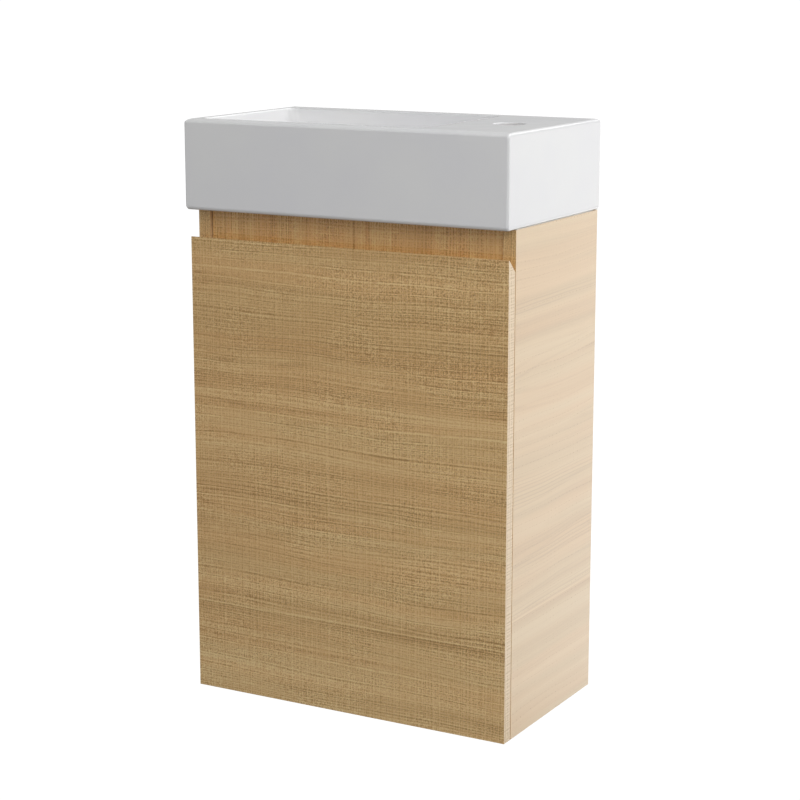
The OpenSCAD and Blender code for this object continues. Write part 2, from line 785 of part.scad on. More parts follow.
// Wall plate: a flat foot screwed to the wall and a raised lip that the hook drops behind
module wall_plate() color("silver") {
    foot_low_z = -22;
    bend_z = 8;
    fold = 1;
    difference() {
        translate([-plate_x - wall_plate_w / 2, 0, 0]) rotate([90, 0, 90])
            linear_extrude(wall_plate_w) polygon([
                [0, foot_low_z],
                [0, bend_z],
                [-lip_gap, bend_z + lip_gap],
                [-lip_gap, lip_top_z],
                [-lip_gap - wall_plate_t, lip_top_z],
                [-lip_gap - wall_plate_t, bend_z + lip_gap - fold],
                [-wall_plate_t, bend_z - fold],
                [-wall_plate_t, foot_low_z]
            ]);
        translate([-plate_x, 0, 0]) bar_y(wall_hole_d, -wall_plate_t - over, over);
    }
}

basin();
sealant_bead();
side_panel_left();
side_panel_right();
base_panel();
fascia_rail();
hanging_rail();
lower_back_rail();
shelf();
shelf_supports();
wood_dowels();
cam_bolts();
cam_locks();
cam_caps();
door_panel();
door_bumpers();
at_hinge(upper_hinge_z) hinge_cup();  // hinge_cup_upper
at_hinge(lower_hinge_z) hinge_cup();  // hinge_cup_lower
cup_screws();
guide_pins();
at_hinge(upper_hinge_z) cup_pins();  // cup_pins_upper
at_hinge(lower_hinge_z) cup_pins();  // cup_pins_lower
at_hinge(upper_hinge_z) long_link();  // long_link_upper
at_hinge(lower_hinge_z) long_link();  // long_link_lower
at_hinge(upper_hinge_z) short_link();  // short_link_upper
at_hinge(lower_hinge_z) short_link();  // short_link_lower
at_hinge(upper_hinge_z) hinge_arm();  // hinge_arm_upper
at_hinge(lower_hinge_z) hinge_arm();  // hinge_arm_lower
at_hinge(upper_hinge_z) arm_pins();  // arm_pins_upper
at_hinge(lower_hinge_z) arm_pins();  // arm_pins_lower
at_hinge(upper_hinge_z) hinge_plate();  // hinge_plate_upper
at_hinge(lower_hinge_z) hinge_plate();  // hinge_plate_lower
plate_screws();
arm_screws();
hanger_housing();  // hanger_housing_left
mirror([1, 0, 0]) hanger_housing();  // hanger_housing_right
hanger_hook();  // hanger_hook_left
mirror([1, 0, 0]) hanger_hook();  // hanger_hook_right
hanger_adjusters();
hanger_screws();
wall_plate();  // wall_plate_left
mirror([1, 0, 0]) wall_plate();  // wall_plate_right
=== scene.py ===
# %% [markdown]
# # A wall-hung vanity unit
# The construction comes from the packed model: every board, hinge link and screw is already at its real
# place and size, in metres, with the wall at y = 0 and the room at negative y. This file adds what the
# eye needs: a glazed basin with soft edges, boards with eased edges in a woven oak laminate, threaded
# screws, plated metal, and the light of a white studio.

# %% Load the packed model
import math
import bmesh
import bpy
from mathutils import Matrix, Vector


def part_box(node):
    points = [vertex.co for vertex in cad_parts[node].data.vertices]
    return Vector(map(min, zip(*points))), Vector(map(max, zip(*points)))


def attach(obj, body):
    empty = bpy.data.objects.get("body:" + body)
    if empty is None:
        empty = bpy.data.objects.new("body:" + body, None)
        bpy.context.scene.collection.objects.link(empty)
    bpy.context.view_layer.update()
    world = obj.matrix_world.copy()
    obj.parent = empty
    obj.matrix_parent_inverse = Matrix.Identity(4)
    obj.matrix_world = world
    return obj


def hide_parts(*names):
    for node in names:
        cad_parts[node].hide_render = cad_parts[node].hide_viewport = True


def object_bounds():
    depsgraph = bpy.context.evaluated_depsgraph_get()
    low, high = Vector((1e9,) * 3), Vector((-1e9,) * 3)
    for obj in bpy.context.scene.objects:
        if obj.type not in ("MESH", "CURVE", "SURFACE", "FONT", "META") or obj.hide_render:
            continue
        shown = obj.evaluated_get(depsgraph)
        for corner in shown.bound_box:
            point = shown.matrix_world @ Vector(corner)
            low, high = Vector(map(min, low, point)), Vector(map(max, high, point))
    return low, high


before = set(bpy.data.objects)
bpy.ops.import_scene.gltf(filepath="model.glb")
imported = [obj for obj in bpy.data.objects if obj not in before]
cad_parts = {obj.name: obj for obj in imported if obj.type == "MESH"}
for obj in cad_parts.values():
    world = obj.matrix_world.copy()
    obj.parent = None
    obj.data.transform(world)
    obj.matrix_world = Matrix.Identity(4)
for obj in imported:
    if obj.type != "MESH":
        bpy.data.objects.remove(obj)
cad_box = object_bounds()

MM = 0.001
print("box:", [round(v, 4) for corner in cad_box for v in corner])

# %% [markdown]
# ## The camera
# The photograph was taken from the front right, a little above the basin's rim, with a long lens: the
# upright edges hardly lean. The place and the two angles below were fitted to the corners of the basin,
# the door and the side panel, so the render can be laid over the photograph.

# %% Set up the camera
CAMERA_PLACE = Vector((1.1530, -2.1537, 0.3239))
CAMERA_YAW = math.radians(29.27)
CAMERA_PITCH = math.radians(11.93)
LENS_MM, SENSOR_MM = 95.03, 36.0
NEAREST, FARTHEST = 0.05, 60.0

camera = bpy.data.objects.new("studio_camera", bpy.data.cameras.new("studio_camera"))
bpy.context.scene.collection.objects.link(camera)
camera.data.lens = LENS_MM
camera.data.sensor_width = SENSOR_MM
camera.data.clip_start, camera.data.clip_end = NEAREST, FARTHEST
camera.location = CAMERA_PLACE
looking = Vector((
    -math.sin(CAMERA_YAW) * math.cos(CAMERA_PITCH),
    math.cos(CAMERA_YAW) * math.cos(CAMERA_PITCH),
    -math.sin(CAMERA_PITCH),
))
camera.rotation_euler = looking.to_track_quat("-Z", "Y").to_euler()
bpy.context.scene.camera = camera
bpy.context.scene.view_settings.view_transform = "Standard"
print("camera looks along", [round(v, 3) for v in looking])

# %% [markdown]
# ## Writing a finish as a sum
# A finish is a small calculation repeated at every point of a surface. Wiring dozens of Math nodes by
# hand hides that calculation, so one class wraps a socket and turns Python's own arithmetic into Math
# nodes. Its `node` method adds any other kind of node: first the node's settings, then its sockets.

# %% A socket that does arithmetic
class Wire:
    """A socket in a node tree."""

    def __init__(self, tree, socket=None):
        self.tree = tree
        self.socket = socket

    def node(self, kind, settings=None, sockets=None):
        """Add a node: its settings first, then the values or wires of its sockets."""
        made = self.tree.nodes.new(kind)
        for name, value in (settings or {}).items():
            if name == "stops":
                elements = made.color_ramp.elements
                elements[0].position, elements[-1].position = value[0][0], value[-1][0]
                for place, _ in value[1:-1]:
                    elements.new(place)
                for element, (_, colour) in zip(elements, value):
                    element.color = (*colour, 1.0)
            else:
                setattr(made, name, value)
        for name, value in (sockets or {}).items():
            if isinstance(name, int):
                socket = made.inputs[name]
            else:
                socket = next(s for s in made.inputs if s.enabled and s.name == name)
            if isinstance(value, Wire):
                self.tree.links.new(value.socket, socket)
            else:
                socket.default_value = value
        return {out.name: Wire(self.tree, out) for out in made.outputs if out.enabled}

    def _math(self, operation, first, second=0.0):
        sockets = {0: first, 1: second}
        return self.node("ShaderNodeMath", {"operation": operation}, sockets)["Value"]

    def __add__(self, other):
        return self._math("ADD", self, other)

    __radd__ = __add__

    def __sub__(self, other):
        return self._math("SUBTRACT", self, other)

    def __rsub__(self, other):
        return self._math("SUBTRACT", other, self)

    def __mul__(self, other):
        return self._math("MULTIPLY", self, other)

    __rmul__ = __mul__

    def __truediv__(self, other):
        return self._math("DIVIDE", self, other)

    def __rtruediv__(self, other):
        return self._math("DIVIDE", other, self)

    def __abs__(self):
        return self._math("ABSOLUTE", self)

    def rise(self, low, high):
        """0 below low, 1 above high, and a smooth slope between them."""
        sockets = {"Value": self, "From Min": low, "From Max": high}
        settings = {"interpolation_type": "SMOOTHSTEP"}
        return self.node("ShaderNodeMapRange", settings, sockets)["Result"]

    def between(self, other, share):
        """This wire where share is 0, the other where it is 1."""
        return self + (other - self) * share

    def ripple(self, period, drift):
        """Parallel lines from -1 to 1, one to each period along this wire, pushed about by drift."""
        return self._math("SINE", self * (math.tau / period) + drift)

    def noise(self, x, y, z, detail=2.0, roughness=0.55):
        """Soft random blotches, one to each unit of x, y and z."""
        place = self.node("ShaderNodeCombineXYZ", None, {"X": x, "Y": y, "Z": z})["Vector"]
        sockets = {"Vector": place, "Scale": 1.0, "Detail": detail, "Roughness": roughness}
        return self.node("ShaderNodeTexNoise", None, sockets)["Fac"]

    def blotches(self, place, per_metre, detail=2.0, roughness=0.55):
        """Noise that is alike in every direction, with so many blotches to a metre."""
        x, y, z = [place[axis] * per_metre for axis in "XYZ"]
        return self.noise(x, y, z, detail, roughness)

    def ramp(self, stops):
        """Look this wire up in a row of colours, each at its own value."""
        return self.node("ShaderNodeValToRGB", {"stops": stops}, {"Fac": self})["Color"]

    def mix(self, first, second):
        """The first colour where this wire is 0, the second where it is 1."""
        sockets = {"Factor": self, "A": first, "B": second}
        return self.node("ShaderNodeMix", {"data_type": "RGBA"}, sockets)["Result"]


print("methods of a wire:", ", ".join(name for name in vars(Wire) if not name.startswith("_")))

# %% [markdown]
# ## Opening and closing a finish
# Every finish begins and ends alike. It begins with the place of the point on its own object, because a
# print or a plating belongs to the piece and has to move with it. It ends in one surface shader. Colours
# are written as a screen shows them, which is how people compare them, and turned into linear light.

# %% Start and close a finish
def from_screen(red, green, blue):
    """A colour as a screen shows it, 0 to 255, turned into the linear light that shaders use."""
    shares = [value / 255 for value in (red, green, blue)]
    return tuple(s / 12.92 if s <= 0.04045 else ((s + 0.055) / 1.055) ** 2.4 for s in shares)


def blank_finish(name):
    """An empty material, a wire to build with, and the point's X, Y and Z on its object."""
    material = bpy.data.materials.new(name)
    material.use_nodes = True
    material.node_tree.nodes.clear()
    start = Wire(material.node_tree)
    here = start.node("ShaderNodeTexCoord")["Object"]
    place = start.node("ShaderNodeSeparateXYZ", None, {"Vector": here})
    return material, start, place


def close_finish(start, base, roughness, height=None, relief=0.0, **constants):
    """Send colour, roughness and relief to the surface shader. Other settings are the same all over."""
    sockets = {"Base Color": base, "Roughness": roughness}
    if height is not None:
        bump = {"Strength": 1.0, "Distance": relief, "Height": height}
        sockets["Normal"] = start.node("ShaderNodeBump", None, bump)["Normal"]
    sockets.update({name.replace("_", " "): value for name, value in constants.items()})
    surface = start.node("ShaderNodeBsdfPrincipled", None, sockets)["BSDF"]
    start.node("ShaderNodeOutputMaterial", None, {"Surface": surface})


print("a screen's mid grey is", round(from_screen(128, 128, 128)[0], 3), "in linear light")

# %% [markdown]
# ## The oak laminate and its colours
# The boards wear a printed paper under resin. The print is a pale, quarter-cut oak whose lines wander
# gently, crossed by short threads like those of a linen cloth. An image would repeat and blur, so the
# print is worked out from the board's own coordinates as one value, its tone, and the tone picks a colour
# from a dark, a middle and a light one. The side panels get a paler, less yellow copy of these colours,
# which is painted sheen from the strong light on the right. The fascia gets a warmer, brighter copy,
# which is painted light for the recess under the basin.

# %% Colours of the print, and two copies with painted light
PALE_OAK = [from_screen(179, 136, 78), from_screen(230, 189, 127), from_screen(255, 226, 166)]
# A paler, less yellow copy of the print's colours: painted sheen, for faces turned to the strong light on
# the right.
SHEEN_PAINTED_OAK = [from_screen(187, 149, 102), from_screen(231, 201, 156), from_screen(255, 233, 194)]
# A warmer, brighter copy of the print's colours: painted light, for the fascia in the recess under the
# basin.
RECESS_PAINTED_OAK = [from_screen(181, 133, 73), from_screen(237, 191, 124), from_screen(255, 229, 161)]
TONES = (0.0, 0.5, 1.0)
BLUSH = (1.015, 0.970, 0.945)
BAND = "edge_band"
print("colours to a print:", len(PALE_OAK), "and the blush takes", round(1 - BLUSH[2], 3), "of the blue")

# %% [markdown]
# ## The broad figure of the wood
# In quarter-cut oak the growth lines run side by side, some broad and soft, some gathered in bundles of
# fine dark lines. Long thin noise gives such bands, and a slow wave bends them first, so that no line is
# ruled. In what follows u runs along the grain, v and the bent lane across it, w into the board, and the
# numbers beside them count blotches to a metre. Paper comes off a roll, so a print also has a place
# where it begins again: a thin pale line with a darker strip below it, which the photograph shows.
# Further below the joint the board is made a little paler: painted light, to keep its lower part as
# bright as its upper part.

# %% Bands, growth lines, the joint of the paper and painted light below it
WIDE_WAVE, NARROW_WAVE = 24 * MM, 3 * MM
BUNDLE_GAP = 4.3 * MM
JOINT_LINE, JOINT_STRIP, JOINT_FADE, PAINTED_LIGHT_BELOW_JOINT = 0.4 * MM, 2 * MM, 18 * MM, 30 * MM


def wandering_lane(start, u, v, seed):
    """The lane that a line of the grain keeps to, bent by a wide wave and a narrow one."""
    wide = start.noise(u * 2.2, v * 5.0, seed, 2.0) * WIDE_WAVE
    narrow = start.noise(u * 9.0, v * 16.0, seed) * NARROW_WAVE
    return v + (wide + narrow)


def wood_figure(start, u, lane, w, drift):
    """Soft bands, growth lines, and here and there a bundle of fine dark lines."""
    tone = start.noise(u * 0.7, lane * 16.0, w * 16.0, 2.0)
    bands = start.noise(u * 1.2, lane * 80.0, w * 80.0, 1.0, 0.7)
    years = start.noise(u * 1.3, lane * 24.0, w * 24.0 + 7.0, 1.0)
    rings = years.ripple(0.075, 0.0).rise(0.35, 1.0) * tone.rise(0.44, 0.60)
    bundles = lane.ripple(BUNDLE_GAP, drift * 0.3).rise(0.1, 1.0) * years.rise(0.56, 0.66)
    return (tone - 0.5) * 0.36 + (bands - 0.5) * 0.55 - rings * 0.10 - bundles * 0.22


def paper_joint_and_painted_light(below):
    """The pale line and the fading dark strip, from how far a point lies below the joint, and painted
    light further below.
    """
    dark = below.rise(0.0, JOINT_LINE) * (1.0 - below.rise(JOINT_STRIP, JOINT_FADE)) * 0.17
    pale = (1.0 - abs(below) * 700.0).rise(0.0, 0.5) * 0.26
    # Painted light: the board is made paler from a little below the joint downwards.
    return pale + below.rise(0.0, PAINTED_LIGHT_BELOW_JOINT) * 0.10 - dark


print("the joint's dark strip fades out", round(JOINT_FADE / MM), "mm below it")

# %% [markdown]
# ## The fine lines and the cloth
# A sine of the lane draws parallel lines at an even spacing. Three spacings laid over each other, and
# pushed about by noise, look like fibres and not like a ruler. The same sum turned a quarter gives the
# threads of the cloth. Both come and go in dashes and stitches, as printed ink does, and a fine speckle
# stands for the grain of the paper. The bare lines are handed back too, because they also make the
# relief that is pressed into the resin.

# %% Fibres, threads and specks
FIBRE_GAPS = (2.4 * MM, 3.1 * MM, 4.6 * MM)
THREAD_GAPS = (2.8 * MM, 4.0 * MM, 7.8 * MM)


def printed_fibres(start, u, lane, w, drift):
    """Lines along the grain at three spacings, and the same lines as the ink shows them."""
    dashes = start.noise(u * 46.0, lane * 300.0, w * 300.0, 1.0).rise(0.30, 0.70)
    near, middle, far = FIBRE_GAPS
    fibres = lane.ripple(near, drift) + lane.ripple(middle, drift * 0.8) + lane.ripple(far, drift * 0.6)
    return fibres, fibres * (dashes + 0.25) * 0.095


def printed_threads(start, u, v, lane, w):
    """Threads across the grain at three spacings, and the same threads in stitches, with the specks."""
    slip = start.noise(u * 60.0, v * 3.0, w * 3.0 + 3.0, 1.0) * 24.0
    stitches = start.noise(u * 260.0, v * 40.0, w * 40.0, 1.0).rise(0.30, 0.70)
    near, middle, far = THREAD_GAPS
    threads = u.ripple(near, slip) + u.ripple(middle, slip * 0.8) + u.ripple(far, slip * 0.5) * 0.6
    specks = start.noise(u * 850.0, lane * 850.0, w * 850.0, 0.0)
    return threads, threads * (stitches + 0.15) * 0.045 + (specks - 0.5) * 1.10


print("fibres lie", [round(gap / MM, 1) for gap in FIBRE_GAPS], "mm apart, threads",
      [round(gap / MM, 1) for gap in THREAD_GAPS])

# %% [markdown]
# ## One laminate for every board
# The boards differ in the direction of the grain, in their colours and in the strength of each kind of
# line, so one function makes them all. A cut edge is covered by a thin band whose grain runs along it.
# The board's mesh marks those faces in an attribute, and there the directions are swapped and a print of
# their own is used. Worn patches weaken the fine lines here and there, and a blush warms some lanes.

# %% Oak laminate, for any direction of grain
def oak_laminate(name, along, across, depth, seed, shades=PALE_OAK, edge_shades=PALE_OAK,
                 figure=1.0, fibre=1.0, cloth=1.0, edge=0.4, joint=None):
    """along, across and depth say which of X, Y and Z runs with the grain, over it and into the board.

    figure is the strength of the broad bands and growth lines, fibre that of the fine lines along the
    grain, and cloth that of the threads across it. The banded ends have a print of their own, with its
    colours in edge_shades and its strength in edge. joint is where the printed paper begins again, and
    below it the board is also made paler, which is painted light.
    """
    material, start, place = blank_finish(name)
    on_band = start.node("ShaderNodeAttribute", {"attribute_name": BAND})["Fac"]
    u = place[along].between(place[across], on_band) + seed
    v = place[across].between(place[depth], on_band)
    w = place[depth].between(place[along], on_band)

    def strength(on_face):
        return on_band * (edge - on_face) + on_face

    lane = wandering_lane(start, u, v, seed)
    drift = start.noise(u * 3.0, lane * 60.0, w * 60.0, 1.0) * 26.0
    broad = wood_figure(start, u, lane, w, drift)
    # The joint of the paper, and below it painted light that makes the board paler.
    if joint is not None:
        broad = broad + paper_joint_and_painted_light(joint - v)
    fibres, fibre_ink = printed_fibres(start, u, lane, w, drift)
    threads, thread_ink = printed_threads(start, u, v, lane, w)
    fine = fibre_ink * strength(fibre) + thread_ink * strength(cloth)
    worn = start.noise(u * 9.0, v * 22.0, w * 22.0 + 5.0, 1.0).rise(0.32, 0.68)
    tone = broad * strength(figure) + fine * (worn * 0.7 + 0.65) + 0.5

    blushed = [tuple(c * b for c, b in zip(shade, BLUSH)) for shade in shades]
    plain, warm, ends = [tone.ramp(list(zip(TONES, dye))) for dye in (shades, blushed, edge_shades)]
    blush = start.noise(u * 2.2, lane * 42.0, w * 42.0 + 9.0, 1.0).rise(0.34, 0.66)
    base = on_band.mix(blush.mix(plain, warm), ends)
    relief = fibres * (0.15 * fibre) + threads * (0.15 * cloth) + 0.5
    roughness = 0.28 + (relief - 0.5) * 0.10
    close_finish(start, base, roughness, relief, 0.04 * MM, Specular_IOR_Level=1.0)
    return material


# The door's banded ends take the sheen-painted copy: painted sheen from the light on the right.
door_laminate = oak_laminate("oak_across_door", "X", "Z", "Y", 0.0, PALE_OAK, SHEEN_PAINTED_OAK,
                             edge=0.2, joint=-0.4072)
# The side panels' faces take the sheen-painted copy, painted sheen from the light on the right; their
# front edges take the plain one.
side_laminate = oak_laminate("oak_across_side", "Y", "Z", "X", 3.1, SHEEN_PAINTED_OAK, PALE_OAK,
                             figure=0.66, fibre=0.12, cloth=0.09, edge=0.8, joint=-0.3785)
# The fascia takes the warmer, brighter copy: painted light for its recess under the basin.
fascia_laminate = oak_laminate("oak_upright_fascia", "Z", "X", "Y", 5.7, RECESS_PAINTED_OAK, RECESS_PAINTED_OAK,
                               figure=1.2, fibre=0.8, cloth=0.8)
floor_laminate = oak_laminate("oak_flat_boards", "X", "Y", "Z", 8.3)
print("laminates:", door_laminate.name, side_laminate.name, fascia_laminate.name, floor_laminate.name)

# %% [markdown]
# ## The glaze
# A washbasin is fired clay under a layer of white glass. The glaze gives a sharp reflection over a white
# body, and it is never quite flat: it pools and ripples by a fraction of a millimetre. Only the foot that
# stands on the cabinet stays unglazed and looks dull, so the finish changes over at its height.

# %% Glazed ceramic
BARE_FOOT, BARE_FADE = 0.4 * MM, 0.8 * MM
GLAZE = [(0.35, from_screen(243, 243, 245)), (0.65, from_screen(246, 246, 246))]
CLAY = [(0.3, from_screen(214, 208, 196)), (0.7, from_screen(228, 223, 213))]


def glazed_ceramic(name, foot_top):
    """White glaze above foot_top, bare clay below it."""
    material, start, place = blank_finish(name)
    bare = 1.0 - place["Z"].rise(foot_top, foot_top + BARE_FADE)
    pools = start.blotches(place, 24.0, 1.0)
    tint = start.blotches(place, 9.0)
    grit = start.blotches(place, 1500.0)
    base = bare.mix(tint.ramp(GLAZE), grit.ramp(CLAY))
    roughness = 0.14 + bare * 0.51 + (tint - 0.5) * 0.03
    close_finish(start, base, roughness, pools + bare * grit * 0.2, 0.4 * MM, IOR=1.52)
    return material


basin_low, basin_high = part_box("basin")
white_glaze = glazed_ceramic("white_glaze", basin_low.z + BARE_FOOT)
print("basin from", [round(v, 4) for v in basin_low], "to", [round(v, 4) for v in basin_high])

# %% [markdown]
# ## The basin, laid in rings
# The packed basin is right in size but its rims are hard. Thick glaze rounds every rim, and that thin
# bright line is most of what makes a basin look like ceramic. A remesh would make the flat deck wavy, so
# the surface is laid in rings instead: rings up the outside, over the rim, down the bowl and in to the
# waste, each with the same number of points. Only the flat deck, the foot and the hollow's ceiling,
# which have holes in them, are filled from their edges.

# %% Rings of a rounded rectangle
CORNER_STEPS = 10
SIDE_STEPS = 6
PER_RING = 4 * (CORNER_STEPS + SIDE_STEPS)


def rectangle_ring(low, high, radius, z, back_radius=None):
    """Points round a rectangle with round corners, in millimetres, anticlockwise.

    back_radius is that of the two corners at the wall, where it isn't the same as in front.
    """
    (x0, y0), (x1, y1) = low, high
    back = radius if back_radius is None else back_radius
    corners = [(x1 - back, y1 - back, back), (x0 + back, y1 - back, back),
               (x0 + radius, y0 + radius, radius), (x1 - radius, y0 + radius, radius)]
    arcs = []
    for corner, (cx, cy, r) in enumerate(corners):
        angles = [math.pi / 2 * (corner + step / CORNER_STEPS) for step in range(CORNER_STEPS + 1)]
        arcs.append([(cx + r * math.cos(angle), cy + r * math.sin(angle)) for angle in angles])
    points = []
    for corner, arc in enumerate(arcs):
        points += [(x, y, z) for x, y in arc]
        (ax, ay), (bx, by) = arc[-1], arcs[(corner + 1) % 4][0]
        for step in range(1, SIDE_STEPS):
            share = step / SIDE_STEPS
            points.append((ax + (bx - ax) * share, ay + (by - ay) * share, z))
    return points


print("points in a ring:", len(rectangle_ring((0, 0), (100, 50), 5, 0)), "expected", PER_RING)

# %% [markdown]
# ## Circles, margins and quarter circles
# A round hole has to join a rectangular ring point by point, so its circle takes the directions of that
# ring's points. A rectangle that grows by a margin from ring to ring makes walls lean and rims flare. A
# quarter circle, given as pairs of shares, rounds any edge, and also one that is deeper than it is high.

# %% Three helpers of shape
def circle_like(ring, centre, radius, z):
    """A circle whose points lie in the same directions as those of a ring."""
    points = []
    for x, y, _ in ring:
        dx, dy = x - centre[0], y - centre[1]
        reach = radius / math.hypot(dx, dy)
        points.append((centre[0] + dx * reach, centre[1] + dy * reach, z))
    return points


def grown(low, high, by):
    """A rectangle's corners, moved out by a margin."""
    return (low[0] - by, low[1] - by), (high[0] + by, high[1] + by)


def quarter(steps):
    """Pairs of (share across, share along) that go round a quarter circle."""
    angles = [math.pi / 2 * i / steps for i in range(steps + 1)]
    return [(1 - math.cos(a), math.sin(a)) for a in angles]


print("a quarter circle in two steps:", [(round(x, 2), round(y, 2)) for x, y in quarter(steps=2)])

# %% [markdown]
# ## From rings to a closed body
# Two neighbouring rings are joined by a strip of quads. A flat face with holes is filled from the edges
# of its rings. A closed body has exactly two faces on every edge, so that is counted for each one.

# %% Helpers that build a mesh
def add_ring(work, points):
    """Add a ring of points, given in millimetres."""
    return [work.verts.new([value * MM for value in point]) for point in points]


def add_strips(work, rings):
    """Join each ring to the next with quads."""
    for lower, upper in zip(rings, rings[1:]):
        for i in range(len(lower)):
            j = (i + 1) % len(lower)
            work.faces.new((lower[i], lower[j], upper[j], upper[i]))


def fill_flat(work, *rings):
    """Fill the flat face between an outer ring and the rings of its holes."""
    edges = []
    for ring in rings:
        for i, vert in enumerate(ring):
            edges.append(work.edges.get((vert, ring[(i + 1) % len(ring)])))
    bmesh.ops.triangle_fill(work, use_beauty=True, use_dissolve=False, edges=edges)


def print_closed(work, name):
    """Print how many edges lack a face, and the volume that the faces enclose."""
    open_edges = [edge for edge in work.edges if len(edge.link_faces) != 2]
    print(f"{name}: {len(open_edges)} open edges, {work.calc_volume() * 1e6:.1f} ml")


trial = bmesh.new()
trial_rings = [add_ring(trial, rectangle_ring((0, 0), (100, 50), 5, z)) for z in (0, 10)]
add_strips(trial, trial_rings)
for trial_ring in trial_rings:
    fill_flat(trial, trial_ring)
print_closed(trial, "a trial slab")
trial.free()

# %% [markdown]
# ## From a body to a piece of the scene
# Faces keep smooth shading, and the normals are weighted by face area, so the wide flat faces stay flat
# up to the edge and only the narrow rounded strips bend the light. The weighting is a modifier, which is
# baked into the mesh at once. A piece then takes the place of its packed node and moves with its body.

# %% Helpers that finish a piece
def settle(made):
    """Bake an object's modifiers into its mesh and remove them."""
    graph = bpy.context.evaluated_depsgraph_get()
    baked = bpy.data.meshes.new_from_object(made.evaluated_get(graph), depsgraph=graph)
    baked.name = made.name
    made.modifiers.clear()
    made.data = baked
    return made


def to_object(work, name, material):
    """Turn the working mesh into an object with smooth, area-weighted shading."""
    mesh = bpy.data.meshes.new(name)
    for face in work.faces:
        face.smooth = True
    work.to_mesh(mesh)
    work.free()
    mesh.materials.append(material)
    made = bpy.data.objects.new(name, mesh)
    bpy.context.scene.collection.objects.link(made)
    weighted = made.modifiers.new("flat faces stay flat", "WEIGHTED_NORMAL")
    weighted.keep_sharp = True
    return settle(made)


def stand_for(made, node, body):
    """The piece stands for a packed node and rides on its body."""
    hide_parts(node)
    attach(made, body)
    low, high = made.bound_box[0], made.bound_box[6]
    size = [round((high[i] - low[i]) / MM, 1) for i in range(3)]
    print(f"{made.name}: {len(made.data.polygons)} faces, {size} mm")


# %% [markdown]
# ## What the basin measures
# The outside comes from the packed basin's box. The rims, the deck and the ceramic have their real
# widths, the bowl and the tap hole follow from them, and the waste lies in the middle of the bowl. The
# hollow under the deck ends a few millimetres short of the side panel, the fascia and the hanging rail,
# so its walls are read off those boards. All of it is in millimetres, which is how a basin is drawn.

# %% The basin's sizes
FOOT_Z, RIM_Z = basin_low.z / MM, basin_high.z / MM
SLAB_LOW = (basin_low.x / MM, basin_low.y / MM)
SLAB_HIGH = (basin_high.x / MM, basin_high.y / MM)
RIM_DEEP, RIM_ROUND = 14.0, 4.5
FOOT_ROUND, FOOT_FRONT, FOOT_SIDE = 4.5, 3.2, 1.4
FRONT_CORNER, BACK_CORNER, LEAST_CORNER = 2.6, 0.8, 0.6

DECK_WIDTH, RIM_LEFT, RIM_FRONT, RIM_BACK = 113.0, 10.0, 20.0, 20.0
CERAMIC, HOLLOW_WALL, HOLLOW_MARGIN = 14.0, 10.0, 3.0
BOWL_LOW = (SLAB_LOW[0] + RIM_LEFT, SLAB_LOW[1] + RIM_FRONT)
BOWL_HIGH = (SLAB_HIGH[0] - DECK_WIDTH, SLAB_HIGH[1] - RIM_BACK)
BOWL_CORNER, BOWL_ROUND, BOWL_DRAFT, BOWL_RIM = 12.0, 18.0, 1.5, 2.5
CORNER_GROWTH = 2.0
FLOOR_Z, FLOOR_FALL = FOOT_Z + CERAMIC, 1.5

WASTE = ((BOWL_LOW[0] + BOWL_HIGH[0]) / 2, (BOWL_LOW[1] + BOWL_HIGH[1]) / 2)
WASTE_RADIUS, SEAT_RADIUS = 23.0, 33.0
SEAT_STEPS = [(32.0, 0.3), (30.5, 0.9), (27.0, 2.1), (24.8, 2.8), (23.6, 3.2), (WASTE_RADIUS, 4.0)]
TAP = (SLAB_HIGH[0] - DECK_WIDTH / 2, (SLAB_LOW[1] + SLAB_HIGH[1]) / 2)
TAP_RADIUS, TAP_RIM = 17.5, 1.5

HOLLOW_LOW = (BOWL_HIGH[0] + HOLLOW_WALL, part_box("fascia_rail")[1].y / MM + HOLLOW_MARGIN)
HOLLOW_HIGH = (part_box("side_panel_right")[0].x / MM - HOLLOW_MARGIN,
               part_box("hanging_rail")[0].y / MM - HOLLOW_MARGIN)
HOLLOW_TOP = RIM_Z - CERAMIC
HOLLOW_CORNER, HOLLOW_RIM, HOLLOW_ROUND = 6.0, 1.5, 5.0
print("bowl", [round(v, 1) for v in BOWL_LOW + BOWL_HIGH], "down to", round(FLOOR_Z, 1))
print("middles of the waste and the tap hole", [round(v, 1) for v in WASTE + TAP])
print("hollow", [round(v, 1) for v in HOLLOW_LOW + HOLLOW_HIGH], "up to", round(HOLLOW_TOP, 1))

# %% [markdown]
# ## The basin's outside
# The rim isn't a plain quarter circle. Its top is crowned towards the front, where the photograph shows
# a soft pale strip, and keeps a small rounding at the other three sides. The foot curves in like a
# parabola, which leaves the fine shadow above the cabinet. The back corners stand at the wall, so they
# are nearly sharp.

# %% Lay the outside in rings
FOOT_STEPS = 7


def outside_ring(front, rest, z):
    """A ring round the slab, moved in by one margin at the front and another on the other three sides."""
    (x0, y0), (x1, y1) = SLAB_LOW, SLAB_HIGH
    low, high = (x0 + rest, y0 + front), (x1 - rest, y1 - rest)
    return rectangle_ring(low, high, max(FRONT_CORNER - rest * 0.5, LEAST_CORNER), z, BACK_CORNER)


def outside_rings():
    """From the foot to the edge of the flat deck."""
    rings = []
    for step in range(FOOT_STEPS + 1):
        left = 1.0 - step / FOOT_STEPS
        z = FOOT_Z + FOOT_ROUND * (1.0 - left)
        rings.append(outside_ring(FOOT_FRONT * left ** 2, FOOT_SIDE * left ** 2, z))
    for across, along in quarter(steps=9):
        z = RIM_Z - RIM_ROUND * (1 - along)
        rings.append(outside_ring(RIM_DEEP * across, RIM_ROUND * across, z))
    return rings


print("rings up the outside:", len(outside_rings()))

# %% [markdown]
# ## The bowl and its waste
# The bowl's walls lean in a little, so that the clay leaves its mould, and run into the floor in a wide
# curve. The floor falls towards the waste, whose dished seat takes the fitting's flange. A square ring
# can't simply shrink to a round one, so the floor's rings pass from one shape to the other in equal
# steps, point by point.

# %% Lay the bowl in rings
FLOOR_STEPS = 6


